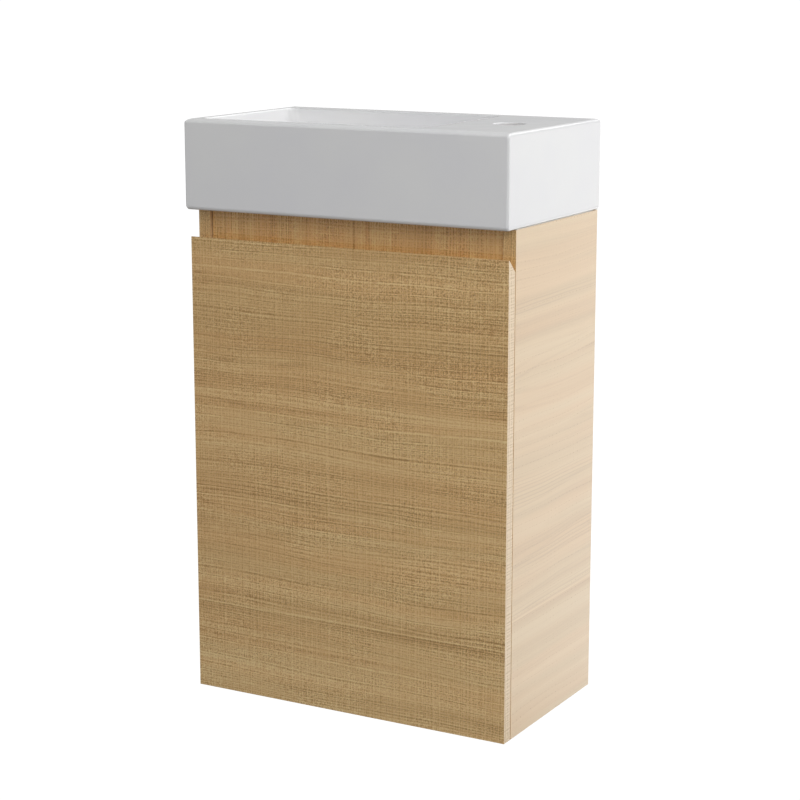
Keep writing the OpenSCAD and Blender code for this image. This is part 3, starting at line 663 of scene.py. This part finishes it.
def bowl_rings():
    """Over the bowl's rim, down its walls, over the floor and through the waste."""
    rings = []
    for across, along in reversed(quarter(steps=4)):
        low, high = grown(BOWL_LOW, BOWL_HIGH, BOWL_RIM * across)
        z = RIM_Z - BOWL_RIM * (1 - along)
        rings.append(rectangle_ring(low, high, BOWL_CORNER + BOWL_RIM * across, z))
    for across, along in quarter(steps=8):
        low, high = grown(BOWL_LOW, BOWL_HIGH, -BOWL_DRAFT - BOWL_ROUND * across)
        z = FLOOR_Z + FLOOR_FALL + BOWL_ROUND * (1 - along)
        rings.append(rectangle_ring(low, high, BOWL_CORNER + CORNER_GROWTH * across, z))
    last = rings[-1]
    seat = circle_like(last, WASTE, SEAT_RADIUS, FLOOR_Z)
    for step in range(1, FLOOR_STEPS + 1):
        share = step / FLOOR_STEPS
        rings.append([tuple(a + (b - a) * share for a, b in zip(p, q)) for p, q in zip(last, seat)])
    for radius, sunk in SEAT_STEPS:
        rings.append(circle_like(last, WASTE, radius, FLOOR_Z - sunk))
    rings.append(circle_like(last, WASTE, WASTE_RADIUS, FOOT_Z))
    return rings


print("rings down the bowl:", len(bowl_rings()))

# %% [markdown]
# ## The tap hole and the hollow below it
# A deck of solid clay would crack in the kiln, so it is hollow from below, with the walls and the
# ceiling as thick as the rest. The tap hole passes through that ceiling. Its rings are round, and they
# borrow the directions of their points from a rectangle around the hole, so that one helper makes every
# circle of the basin.

# %% Lay the tap hole and the hollow in rings
TAP_SURROUND, SURROUND_CORNER = (39.5, 39.0), 8.0


def tap_rings():
    """From the rim in the deck down to the hollow's ceiling."""
    (x, y), (half_x, half_y) = TAP, TAP_SURROUND
    low, high = (x - half_x, y - half_y), (x + half_x, y + half_y)
    around = rectangle_ring(low, high, SURROUND_CORNER, RIM_Z)
    rings = []
    for across, along in reversed(quarter(steps=3)):
        z = RIM_Z - TAP_RIM * (1 - along)
        rings.append(circle_like(around, TAP, TAP_RADIUS + TAP_RIM * across, z))
    return rings + [circle_like(around, TAP, TAP_RADIUS, HOLLOW_TOP)]


def hollow_rings():
    """From the rim in the foot up to the ceiling."""
    rings = []
    for across, along in reversed(quarter(steps=3)):
        low, high = grown(HOLLOW_LOW, HOLLOW_HIGH, HOLLOW_RIM * across)
        z = FOOT_Z + HOLLOW_RIM * (1 - along)
        rings.append(rectangle_ring(low, high, HOLLOW_CORNER + HOLLOW_RIM * across, z))
    for across, along in quarter(steps=4):
        low, high = grown(HOLLOW_LOW, HOLLOW_HIGH, -HOLLOW_ROUND * across)
        rings.append(rectangle_ring(low, high, HOLLOW_CORNER, HOLLOW_TOP - HOLLOW_ROUND * (1 - along)))
    return rings


print("rings in the tap hole and the hollow:", len(tap_rings()), len(hollow_rings()))

# %% [markdown]
# ## One closed basin
# The four stacks of rings become strips of quads, and three flat faces close the body: the deck, the
# foot and the hollow's ceiling. The stacks run in different directions, so the normals are worked out
# afresh once everything is joined.

# %% Join the rings into the basin
def make_basin(material):
    """Join the four stacks of rings into one closed body."""
    work = bmesh.new()
    stacks = []
    for points_of_rings in (outside_rings(), bowl_rings(), hollow_rings(), tap_rings()):
        rings = [add_ring(work, points) for points in points_of_rings]
        add_strips(work, rings)
        stacks.append(rings)
    outside, bowl, hollow, tap_hole = stacks
    fill_flat(work, outside[-1], bowl[0], tap_hole[0])
    fill_flat(work, outside[0], bowl[-1], hollow[0])
    fill_flat(work, hollow[-1], tap_hole[-1])
    bmesh.ops.recalc_face_normals(work, faces=work.faces)
    print_closed(work, "basin")
    return to_object(work, "glazed_basin", material)


stand_for(make_basin(white_glaze), "basin", "cabinet")

# %% [markdown]
# ## Boards with eased edges
# A saw leaves a laminated board with an edge sharp enough to cut, so it is always eased by a few tenths
# of a millimetre, and that narrow slope catches a line of light. The packed boards have the right size
# and all their holes, so each one is copied, its loose triangles are merged, and only its long outer
# edges are bevelled. The rims of the drilled holes are made of short edges and stay crisp.

# %% Copy a board and ease its long edges
EASE = 0.2 * MM
LONG_EDGE = 9 * MM
SAME_POINT = 0.002 * MM
NEARLY_FLAT, FOLDED, CREASED = math.radians(0.5), math.radians(30), math.radians(50)
FACING = 0.6


def merged_copy(node):
    """A working copy of a packed node, with its loose triangles joined."""
    work = bmesh.new()
    work.from_mesh(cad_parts[node].data)
    bmesh.ops.remove_doubles(work, verts=work.verts, dist=SAME_POINT)
    return work


def eased_board(node, body, material, along=0, play=0.0):
    """along is the axis that the grain follows; the ends that face that way are banded.

    play is how far both ends in X are drawn in, to leave a fine dark line beside the neighbouring board.
    """
    work = merged_copy(node)
    bmesh.ops.dissolve_limit(work, angle_limit=NEARLY_FLAT, verts=work.verts, edges=work.edges)
    outer = [edge for edge in work.edges
             if len(edge.link_faces) == 2 and edge.calc_length() > LONG_EDGE
             and edge.calc_face_angle() > FOLDED]
    bmesh.ops.bevel(work, geom=outer, offset=EASE, segments=2, profile=0.5, affect="EDGES")
    for edge in work.edges:
        if len(edge.link_faces) == 2 and edge.calc_face_angle() > CREASED:
            edge.smooth = False
    end = max(vert.co.x for vert in work.verts) - 2 * EASE
    for vert in work.verts:
        if abs(vert.co.x) > end:
            vert.co.x -= math.copysign(play, vert.co.x)
    banded = work.faces.layers.float.new(BAND)
    for face in work.faces:
        face[banded] = float(abs(face.normal[along]) > FACING)
    stand_for(to_object(work, "eased_" + node, material), node, body)


eased_board("door_panel", "door", door_laminate)
eased_board("side_panel_left", "cabinet", side_laminate, along=1)
eased_board("side_panel_right", "cabinet", side_laminate, along=1)
eased_board("fascia_rail", "cabinet", fascia_laminate, along=2, play=1.0 * MM)
eased_board("base_panel", "cabinet", floor_laminate)
eased_board("shelf", "cabinet", floor_laminate)
eased_board("hanging_rail", "cabinet", door_laminate)
eased_board("lower_back_rail", "cabinet", door_laminate)

# %% [markdown]
# ## Plated metal
# The hinges are nickel-plated pressings: warm, fairly bright, with the faint lines of the rolled strip.
# Hooks, plates and screws are zinc-plated, which is cooler and cloudier. A metal shows almost only what
# it mirrors, so small changes of roughness do more than changes of colour. One rule makes them all, from
# the strength of the rolling lines and of the clouds in the plating.

# %% One rule for every metal
def plated_metal(name, dull, bright, roughness, strip, cloud):
    """strip is the strength of the rolling lines along Y, cloud that of the blotches in the plating."""
    material, start, place = blank_finish(name)
    blotch = start.blotches(place, 260.0, 3.0, 0.6)
    rolled = start.noise(place["X"] * 5200.0, place["Y"] * 120.0, place["Z"] * 5200.0)
    tone = 0.5 + (blotch - 0.5) * cloud + (rolled - 0.5) * strip
    base = tone.ramp([(0.2, from_screen(*dull)), (0.8, from_screen(*bright))])
    rough = roughness + (blotch - 0.5) * 0.16 * cloud + (rolled - 0.5) * 0.14 * strip
    close_finish(start, base, rough, rolled, 0.01 * MM, Metallic=1.0)
    return material


nickel = plated_metal("nickel_plate", (188, 184, 176), (222, 219, 211), 0.26, 0.5, 0.3)
zinc = plated_metal("zinc_plate", (168, 173, 180), (214, 217, 221), 0.34, 0.3, 0.9)
die_cast = plated_metal("die_cast_zinc", (128, 131, 135), (172, 174, 178), 0.48, 0.1, 0.9)
pin_steel = plated_metal("pin_steel", (150, 150, 152), (196, 196, 198), 0.22, 0.6, 0.2)
screw_steel = plated_metal("screw_zinc", (176, 180, 186), (220, 222, 226), 0.30, 0.2, 0.7)
print("metals:", [metal.name for metal in (nickel, zinc, die_cast, pin_steel, screw_steel)])

# %% [markdown]
# ## Plastic, silicone and rubber
# The hangers' housings are moulded plastic with a spark-eroded grain, the caps over the cam locks match
# the oak, the bead under the basin is silicone, and the bumpers are clear soft rubber. All of them have
# one even colour with a slight mottle, and differ in the size and the depth of their grain.

# %% Moulded finishes
def moulded(name, low, high, roughness, grain, relief, **constants):
    """grain is the number of pits to a metre, relief their depth."""
    material, start, place = blank_finish(name)
    mottle = start.blotches(place, 70.0)
    pits = start.blotches(place, grain)
    base = mottle.ramp([(0.3, from_screen(*low)), (0.7, from_screen(*high))])
    close_finish(start, base, roughness + (pits - 0.5) * 0.12, pits, relief, **constants)
    return material


housing_plastic = moulded("housing_plastic", (206, 206, 202), (219, 219, 216), 0.46, 1500.0, 0.03 * MM)
cap_plastic = moulded("cap_plastic", (196, 158, 108), (210, 174, 126), 0.42, 1200.0, 0.03 * MM)
silicone = moulded("silicone", (232, 227, 220), (242, 238, 232), 0.35, 300.0, 0.05 * MM)
clear_rubber = moulded("clear_rubber", (214, 214, 208), (232, 232, 228), 0.28, 500.0, 0.02 * MM,
                       Subsurface_Weight=0.3, Subsurface_Scale=2 * MM)
print("moulded:", [stuff.name for stuff in (housing_plastic, cap_plastic, silicone, clear_rubber)])

# %% [markdown]
# ## Beech dowels
# A dowel is turned beech with fine flutes that let the glue spread. Little of it shows, so its packed
# solid stays and only the wood is added: pale, with short dark flecks along the dowel.

# %% Beech
def beech(name):
    """Pale wood with its grain and short flecks along X, as the dowels lie."""
    material, start, place = blank_finish(name)
    x, y, z = [place[axis] for axis in "XYZ"]
    grain = start.noise(x * 60.0, y * 1100.0, z * 1100.0, 3.0)
    flecks = start.noise(x * 300.0, y * 2400.0, z * 2400.0, 1.0).rise(0.60, 0.70)
    tone = grain - flecks * 0.3
    base = tone.ramp([(0.3, from_screen(196, 152, 106)), (0.7, from_screen(224, 186, 142))])
    close_finish(start, base, 0.6 + (grain - 0.5) * 0.2, grain, 0.1 * MM)
    return material


turned_beech = beech("turned_beech")
print("wood of the dowels:", turned_beech.name)

# %% [markdown]
# ## Fittings that stay as they were packed
# Hinge links, pins, hooks and plates are small pressings with crisp edges, and the packed solids already
# have their true shape. A copy would only be a second chance to get them wrong. They keep their mesh and
# their place, and only their finish is set.

# %% Give every packed node that stays its finish
STAYING = {
    nickel: ["hinge_cup_upper", "hinge_cup_lower", "hinge_arm_upper", "hinge_arm_lower",
             "hinge_plate_upper", "hinge_plate_lower", "long_link_upper", "long_link_lower",
             "short_link_upper", "short_link_lower"],
    zinc: ["shelf_supports", "cam_bolts", "hanger_hook_left", "hanger_hook_right", "wall_plate_left",
           "wall_plate_right"],
    die_cast: ["cam_locks"],
    pin_steel: ["guide_pins", "cup_pins_upper", "cup_pins_lower", "arm_pins_upper", "arm_pins_lower"],
    housing_plastic: ["hanger_housing_left", "hanger_housing_right"],
    cap_plastic: ["cam_caps"],
    clear_rubber: ["door_bumpers"],
    turned_beech: ["wood_dowels"],
}
for material, names in STAYING.items():
    for name in names:
        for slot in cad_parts[name].material_slots:
            slot.material = material
print("packed nodes with a new finish:", sum(len(names) for names in STAYING.values()))

# %% [markdown]
# ## Screws, and where they sit
# Five kinds of screw hold this unit, and all of them are the same idea: a head with a cross-shaped
# recess, a core, and a thread wound round it. Their places needn't be typed in. Each separate solid in a
# packed node of screws is one screw, so the node is taken apart by walking from point to point along
# its edges.

# %% Find the separate solids of a packed node
def solid_boxes(node):
    """The lowest and highest corners of each separate solid."""
    work = merged_copy(node)
    waiting, boxes = set(work.verts), []
    while waiting:
        found, edge_of_search = [], [waiting.pop()]
        while edge_of_search:
            vert = edge_of_search.pop()
            found.append(vert.co.copy())
            for edge in vert.link_edges:
                other = edge.other_vert(vert)
                if other in waiting:
                    waiting.remove(other)
                    edge_of_search.append(other)
        low = Vector([min(co[i] for co in found) for i in range(3)])
        high = Vector([max(co[i] for co in found) for i in range(3)])
        boxes.append((low, high))
    work.free()
    return sorted(boxes, key=lambda box: tuple(round(v, 5) for v in box[0]))


print("solids in the hanger screws:", len(solid_boxes("hanger_screws")))

# %% [markdown]
# ## A screw from named sizes
# A shape that repeats with other sizes is what Geometry Nodes are for. The head is a cone cut by two
# crossed bars, which leave the recess. The thread is a small three-sided profile swept along a spiral
# round the core. The top of the head lies at the recipe's own zero, so that a screw can be set down on
# the surface it holds.

# %% The head and the threaded shank
SCREW_INPUTS = ["Head width", "Head foot width", "Head height", "Shank width", "Shank length",
                "Thread pitch", "Recess length", "Recess width", "Recess depth"]
CORE_RADIUS, THREAD_RADIUS, RIDGE_RADIUS = 0.42, 0.43, 0.065
THREADED = 0.92


def lowered(geometry, depth):
    """Move geometry down by a depth."""
    down = depth.node("ShaderNodeCombineXYZ", None, {"Z": 0.0 - depth})["Vector"]
    sockets = {"Geometry": geometry, "Translation": down}
    return depth.node("GeometryNodeTransform", None, sockets)["Geometry"]


def screw_head(start, size):
    """A flat or countersunk head with a cross-shaped recess."""
    cone = start.node("GeometryNodeMeshCone", None, {
        "Vertices": 40, "Radius Top": size["Head width"] * 0.5,
        "Radius Bottom": size["Head foot width"] * 0.5, "Depth": size["Head height"]})["Mesh"]
    head = lowered(cone, size["Head height"])
    length, width, deep = size["Recess length"], size["Recess width"], size["Recess depth"] * 2.0
    for wide, tall in ((length, width), (width, length)):
        bar_size = start.node("ShaderNodeCombineXYZ", None, {"X": wide, "Y": tall, "Z": deep})["Vector"]
        bar = start.node("GeometryNodeMeshCube", None, {"Size": bar_size})["Mesh"]
        head = start.node("GeometryNodeMeshBoolean", {"operation": "DIFFERENCE", "solver": "EXACT"},
                          {"Mesh 1": head, "Mesh 2": bar})["Mesh"]
    return head


def screw_core(start, size):
    """The bare core, a little thinner than the thread."""
    core = start.node("GeometryNodeMeshCylinder", None, {
        "Vertices": 24, "Radius": size["Shank width"] * CORE_RADIUS,
        "Depth": size["Shank length"]})["Mesh"]
    return lowered(core, size["Head height"] + size["Shank length"] * 0.5)


def screw_thread(start, size):
    """A ridge wound round the core; its radii are shares of the shank's width."""
    radius = size["Shank width"] * THREAD_RADIUS
    run = size["Shank length"] * THREADED
    path = start.node("GeometryNodeCurveSpiral", None, {
        "Resolution": 20, "Rotations": run / size["Thread pitch"], "Start Radius": radius,
        "End Radius": radius, "Height": run})["Curve"]
    profile = start.node("GeometryNodeCurvePrimitiveCircle", None, {
        "Resolution": 3, "Radius": size["Shank width"] * RIDGE_RADIUS})["Curve"]
    sockets = {"Curve": path, "Profile Curve": profile, "Fill Caps": True}
    thread = start.node("GeometryNodeCurveToMesh", None, sockets)["Mesh"]
    return lowered(thread, size["Head height"] + size["Shank length"] * ((1.0 + THREADED) / 2))


print("sizes of a screw:", ", ".join(SCREW_INPUTS).lower())

# %% [markdown]
# ## The whole recipe
# The recipe takes a mesh of places, sets one screw on each point and turns it the way that point faces.
# It ends by making the copies real and giving them their metal, because the export drops anything that
# is only an instance.

# %% Join the recipe
def screw_recipe(material):
    """A node tree that sets one screw on each of its places."""
    tree = bpy.data.node_groups.new("cross_head_screw", "GeometryNodeTree")
    tree.interface.new_socket("Places", in_out="INPUT", socket_type="NodeSocketGeometry")
    for name in SCREW_INPUTS:
        tree.interface.new_socket(name, in_out="INPUT", socket_type="NodeSocketFloat")
    tree.interface.new_socket("Screws", in_out="OUTPUT", socket_type="NodeSocketGeometry")
    start = Wire(tree)
    size = start.node("NodeGroupInput")
    joined = start.node("GeometryNodeJoinGeometry")["Geometry"]
    for make in (screw_head, screw_core, screw_thread):
        tree.links.new(make(start, size).socket, joined.socket.node.inputs["Geometry"])
    facing = start.node("GeometryNodeInputNamedAttribute", {"data_type": "FLOAT_VECTOR"},
                        {"Name": "facing"})["Attribute"]
    turned = start.node("FunctionNodeAlignRotationToVector", {"axis": "Z"},
                        {"Vector": facing})["Rotation"]
    placed = start.node("GeometryNodeInstanceOnPoints", None, {
        "Points": size["Places"], "Instance": joined, "Rotation": turned})["Instances"]
    solid = start.node("GeometryNodeRealizeInstances", None, {"Geometry": placed})["Geometry"]
    sockets = {"Geometry": solid, "Material": material}
    finished = start.node("GeometryNodeSetMaterial", None, sockets)["Geometry"]
    start.node("NodeGroupOutput", None, {"Screws": finished})
    return tree


screw_tree = screw_recipe(screw_steel)
print("nodes in the screw recipe:", len(screw_tree.nodes))

# %% [markdown]
# ## Setting the screws
# Each packed solid gives a box. A screw's head faces a known way, so its place is the middle of the
# box's face on that side. The modifier's inputs are set by the sockets' identifiers before the object is
# first evaluated, and the result is baked into a plain mesh.

# %% Set screws on the places of a packed node
def set_screws(node, body, sizes, facing_of):
    """facing_of(box's middle) gives the way a screw's head faces."""
    places, ways = [], []
    for low, high in solid_boxes(node):
        middle = (low + high) / 2
        way = Vector(facing_of(middle))
        half = (high - low) / 2
        places.append(middle + Vector([way[i] * half[i] for i in range(3)]))
        ways.append(way)
    mesh = bpy.data.meshes.new("places_of_" + node)
    mesh.from_pydata(places, [], [])
    stored = mesh.attributes.new("facing", "FLOAT_VECTOR", "POINT")
    for item, way in zip(stored.data, ways):
        item.vector = way
    made = bpy.data.objects.new("threaded_" + node, mesh)
    bpy.context.scene.collection.objects.link(made)
    recipe = made.modifiers.new("screws", "NODES")
    recipe.node_group = screw_tree
    for item in screw_tree.interface.items_tree:
        if item.item_type == "SOCKET" and item.name in sizes:
            recipe[item.identifier] = sizes[item.name] * MM
    settle(made)
    stand_for(made, node, body)


RECESS = {"Recess length": 4.4, "Recess width": 1.1, "Recess depth": 1.1}


def sizes_of(head, foot, height, shank, length, pitch):
    """The sizes of one kind of screw, in millimetres; the recess is the same in all of them."""
    return dict(zip(SCREW_INPUTS, (head, foot, height, shank, length, pitch))) | RECESS


set_screws("cup_screws", "door", sizes_of(6.0, 7.0, 1.6, 3.5, 12.2, 1.3), lambda at: (0, 1, 0))
set_screws("plate_screws", "cabinet", sizes_of(8.4, 9.5, 1.8, 6.0, 13.0, 2.0), lambda at: (1, 0, 0))
set_screws("arm_screws", "cabinet", sizes_of(7.2, 8.0, 2.0, 5.0, 9.4, 1.0), lambda at: (1, 0, 0))
set_screws("hanger_screws", "cabinet", sizes_of(8.0, 4.0, 2.5, 4.0, 21.5, 1.6),
           lambda at: (1, 0, 0) if at.x < 0 else (-1, 0, 0))
set_screws("hanger_adjusters", "cabinet", sizes_of(7.2, 8.0, 2.0, 5.0, 11.7, 1.0), lambda at: (0, -1, 0))

# %% [markdown]
# ## The bead of silicone
# The basin is bedded on one closed line of silicone, which was pressed out a little when the basin was
# set down: it reaches past the side panels' outer faces, and it runs forward on their tops almost to the
# front edge. A profile swept along a path would round its corners too much, so it is drawn in plan as
# one outline with an opening, given its small height, and eased all round.

# %% Lay the bead
BEAD_WIDTH = 14.0 * MM
BEAD_PROUD = 0.4 * MM
BEAD_EASE = 0.2 * MM
BEAD_SHORT = 0.5 * MM


def bead_outlines(low, high, front):
    """The outer outline, with an arm to the front on each side panel, and the outline of the opening."""
    x0, x1, y0, y1 = low.x - BEAD_PROUD, high.x + BEAD_PROUD, low.y, high.y
    left, right = x0 + BEAD_WIDTH, x1 - BEAD_WIDTH
    near, far = y0 + BEAD_WIDTH, y1 - BEAD_WIDTH
    arms = [(x0, front), (left, front), (left, y0), (right, y0), (right, front), (x1, front)]
    outer = arms + [(x1, y1), (x0, y1)]
    return outer, [(left, near), (right, near), (right, far), (left, far)]


def lay_bead(node, front):
    """Draw the bead in the packed one's place, with its arms ending at front."""
    low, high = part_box(node)
    work = bmesh.new()
    walls = []
    for outline in bead_outlines(low, high, front):
        rings = [add_ring(work, [(x / MM, y / MM, z / MM) for x, y in outline]) for z in (low.z, high.z)]
        add_strips(work, rings)
        walls.append(rings)
    for level in (0, 1):
        fill_flat(work, *[rings[level] for rings in walls])
    bmesh.ops.recalc_face_normals(work, faces=work.faces)
    sharp = [edge for edge in work.edges if edge.calc_face_angle() > FOLDED]
    bmesh.ops.bevel(work, geom=sharp, offset=BEAD_EASE, segments=3, profile=0.5, affect="EDGES")
    print_closed(work, "bead")
    stand_for(to_object(work, "sealant_line", silicone), node, "cabinet")


lay_bead("sealant_bead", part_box("side_panel_left")[0].y + BEAD_SHORT)

# %% [markdown]
# ## The studio's lights
# The unit's side and the basin's end are much paler than the front, in every material alike: that isn't
# colour but light, from large soft panels to the right and behind. One big panel would light the deck,
# the right end and the rim between them alike, and in the photograph they differ. So the light is split.
# A high and a low panel at the rear right set the deck and the right end apart, weaker ones fill from
# below and from the rear left, and three more, from the front to the right, light the bowl and the door.

# %% Lights
MIDDLE = Vector((0.0, -0.11, -0.18))
REACH = 3.0


def soft_panel(name, bearing, rise, width, height, radiance):
    """A flat light seen from the object at a bearing, counted from +X towards +Y, and a rise above level.

    radiance is how bright its surface looks, with white paper in full light at 1.
    """
    bearing, rise = math.radians(bearing), math.radians(rise)
    level = math.cos(rise)
    away = Vector((math.cos(bearing) * level, math.sin(bearing) * level, math.sin(rise)))
    light = bpy.data.lights.new(name, "AREA")
    light.shape = "RECTANGLE"
    light.size, light.size_y = width, height
    light.energy = radiance * math.pi * width * height
    made = bpy.data.objects.new(name, light)
    bpy.context.scene.collection.objects.link(made)
    made.location = MIDDLE + away * REACH
    made.rotation_euler = (-away).to_track_quat("-Z", "Y").to_euler()
    made.visible_camera = False
    print(f"{name}: {light.energy:.0f} W over {width} by {height} m")


soft_panel("front_right", -31, 27, 2.4, 1.4, 2.1)
soft_panel("front", -72, 34, 3.0, 2.0, 0.9)
soft_panel("right", 15, 25, 2.0, 2.0, 0.5)
soft_panel("rear_right_high", 60, 48, 2.2, 2.2, 2.9)
soft_panel("rear_right_low", 66, -9, 2.0, 2.0, 1.4)
soft_panel("rear_low", 90, -12, 2.0, 2.0, 1.0)
soft_panel("rear_left", 120, 14, 2.0, 2.0, 0.2)

# %% [markdown]
# ## White all round
# In the photograph everything behind the unit is pure white and no shadow shows. The camera therefore
# sees a world a little brighter than white, while the object is lit by a much weaker one, or its own
# edges would fade into the background. The floor is a plain pale plane that glows by itself, takes no
# shadow and sends no light back. It lies well below, as the unit hangs on a wall.

# %% White surroundings and the floor
BRIGHTER_THAN_WHITE = 1.05
WORLD_CAST = 0.27
FLOOR_DROP, FLOOR_REACH = 0.24, 9.0
WHITE = (1, 1, 1, 1)


def white_surroundings(seen, cast):
    """The world looks as bright as `seen` and lights the object with `cast`."""
    world = bpy.data.worlds.new("white_studio")
    bpy.context.scene.world = world
    world.use_nodes = True
    world.node_tree.nodes.clear()
    start = Wire(world.node_tree)
    looked_at = start.node("ShaderNodeLightPath")["Is Camera Ray"]
    sockets = {"Color": WHITE, "Strength": looked_at * (seen - cast) + cast}
    sky = start.node("ShaderNodeBackground", None, sockets)["Background"]
    start.node("ShaderNodeOutputWorld", None, {"Surface": sky})


def pale_floor(z, reach, glow):
    """A plane that shows as plain white and takes no part in the lighting."""
    mesh = bpy.data.meshes.new("studio_floor")
    corners = [(-reach, -reach, z), (reach, -reach, z), (reach, reach, z), (-reach, reach, z)]
    mesh.from_pydata(corners, [], [(0, 1, 2, 3)])
    floor = bpy.data.objects.new("studio_floor", mesh)
    bpy.context.scene.collection.objects.link(floor)
    material, start, _ = blank_finish("white_sweep")
    shine = start.node("ShaderNodeEmission", None, {"Color": WHITE, "Strength": glow})["Emission"]
    start.node("ShaderNodeOutputMaterial", None, {"Surface": shine})
    mesh.materials.append(material)
    floor.visible_diffuse = floor.visible_glossy = floor.visible_shadow = False
    print("floor at", round(z, 3), "m")


white_surroundings(BRIGHTER_THAN_WHITE, WORLD_CAST)
pale_floor(cad_box[0].z - FLOOR_DROP, FLOOR_REACH, BRIGHTER_THAN_WHITE)

# %% [markdown]
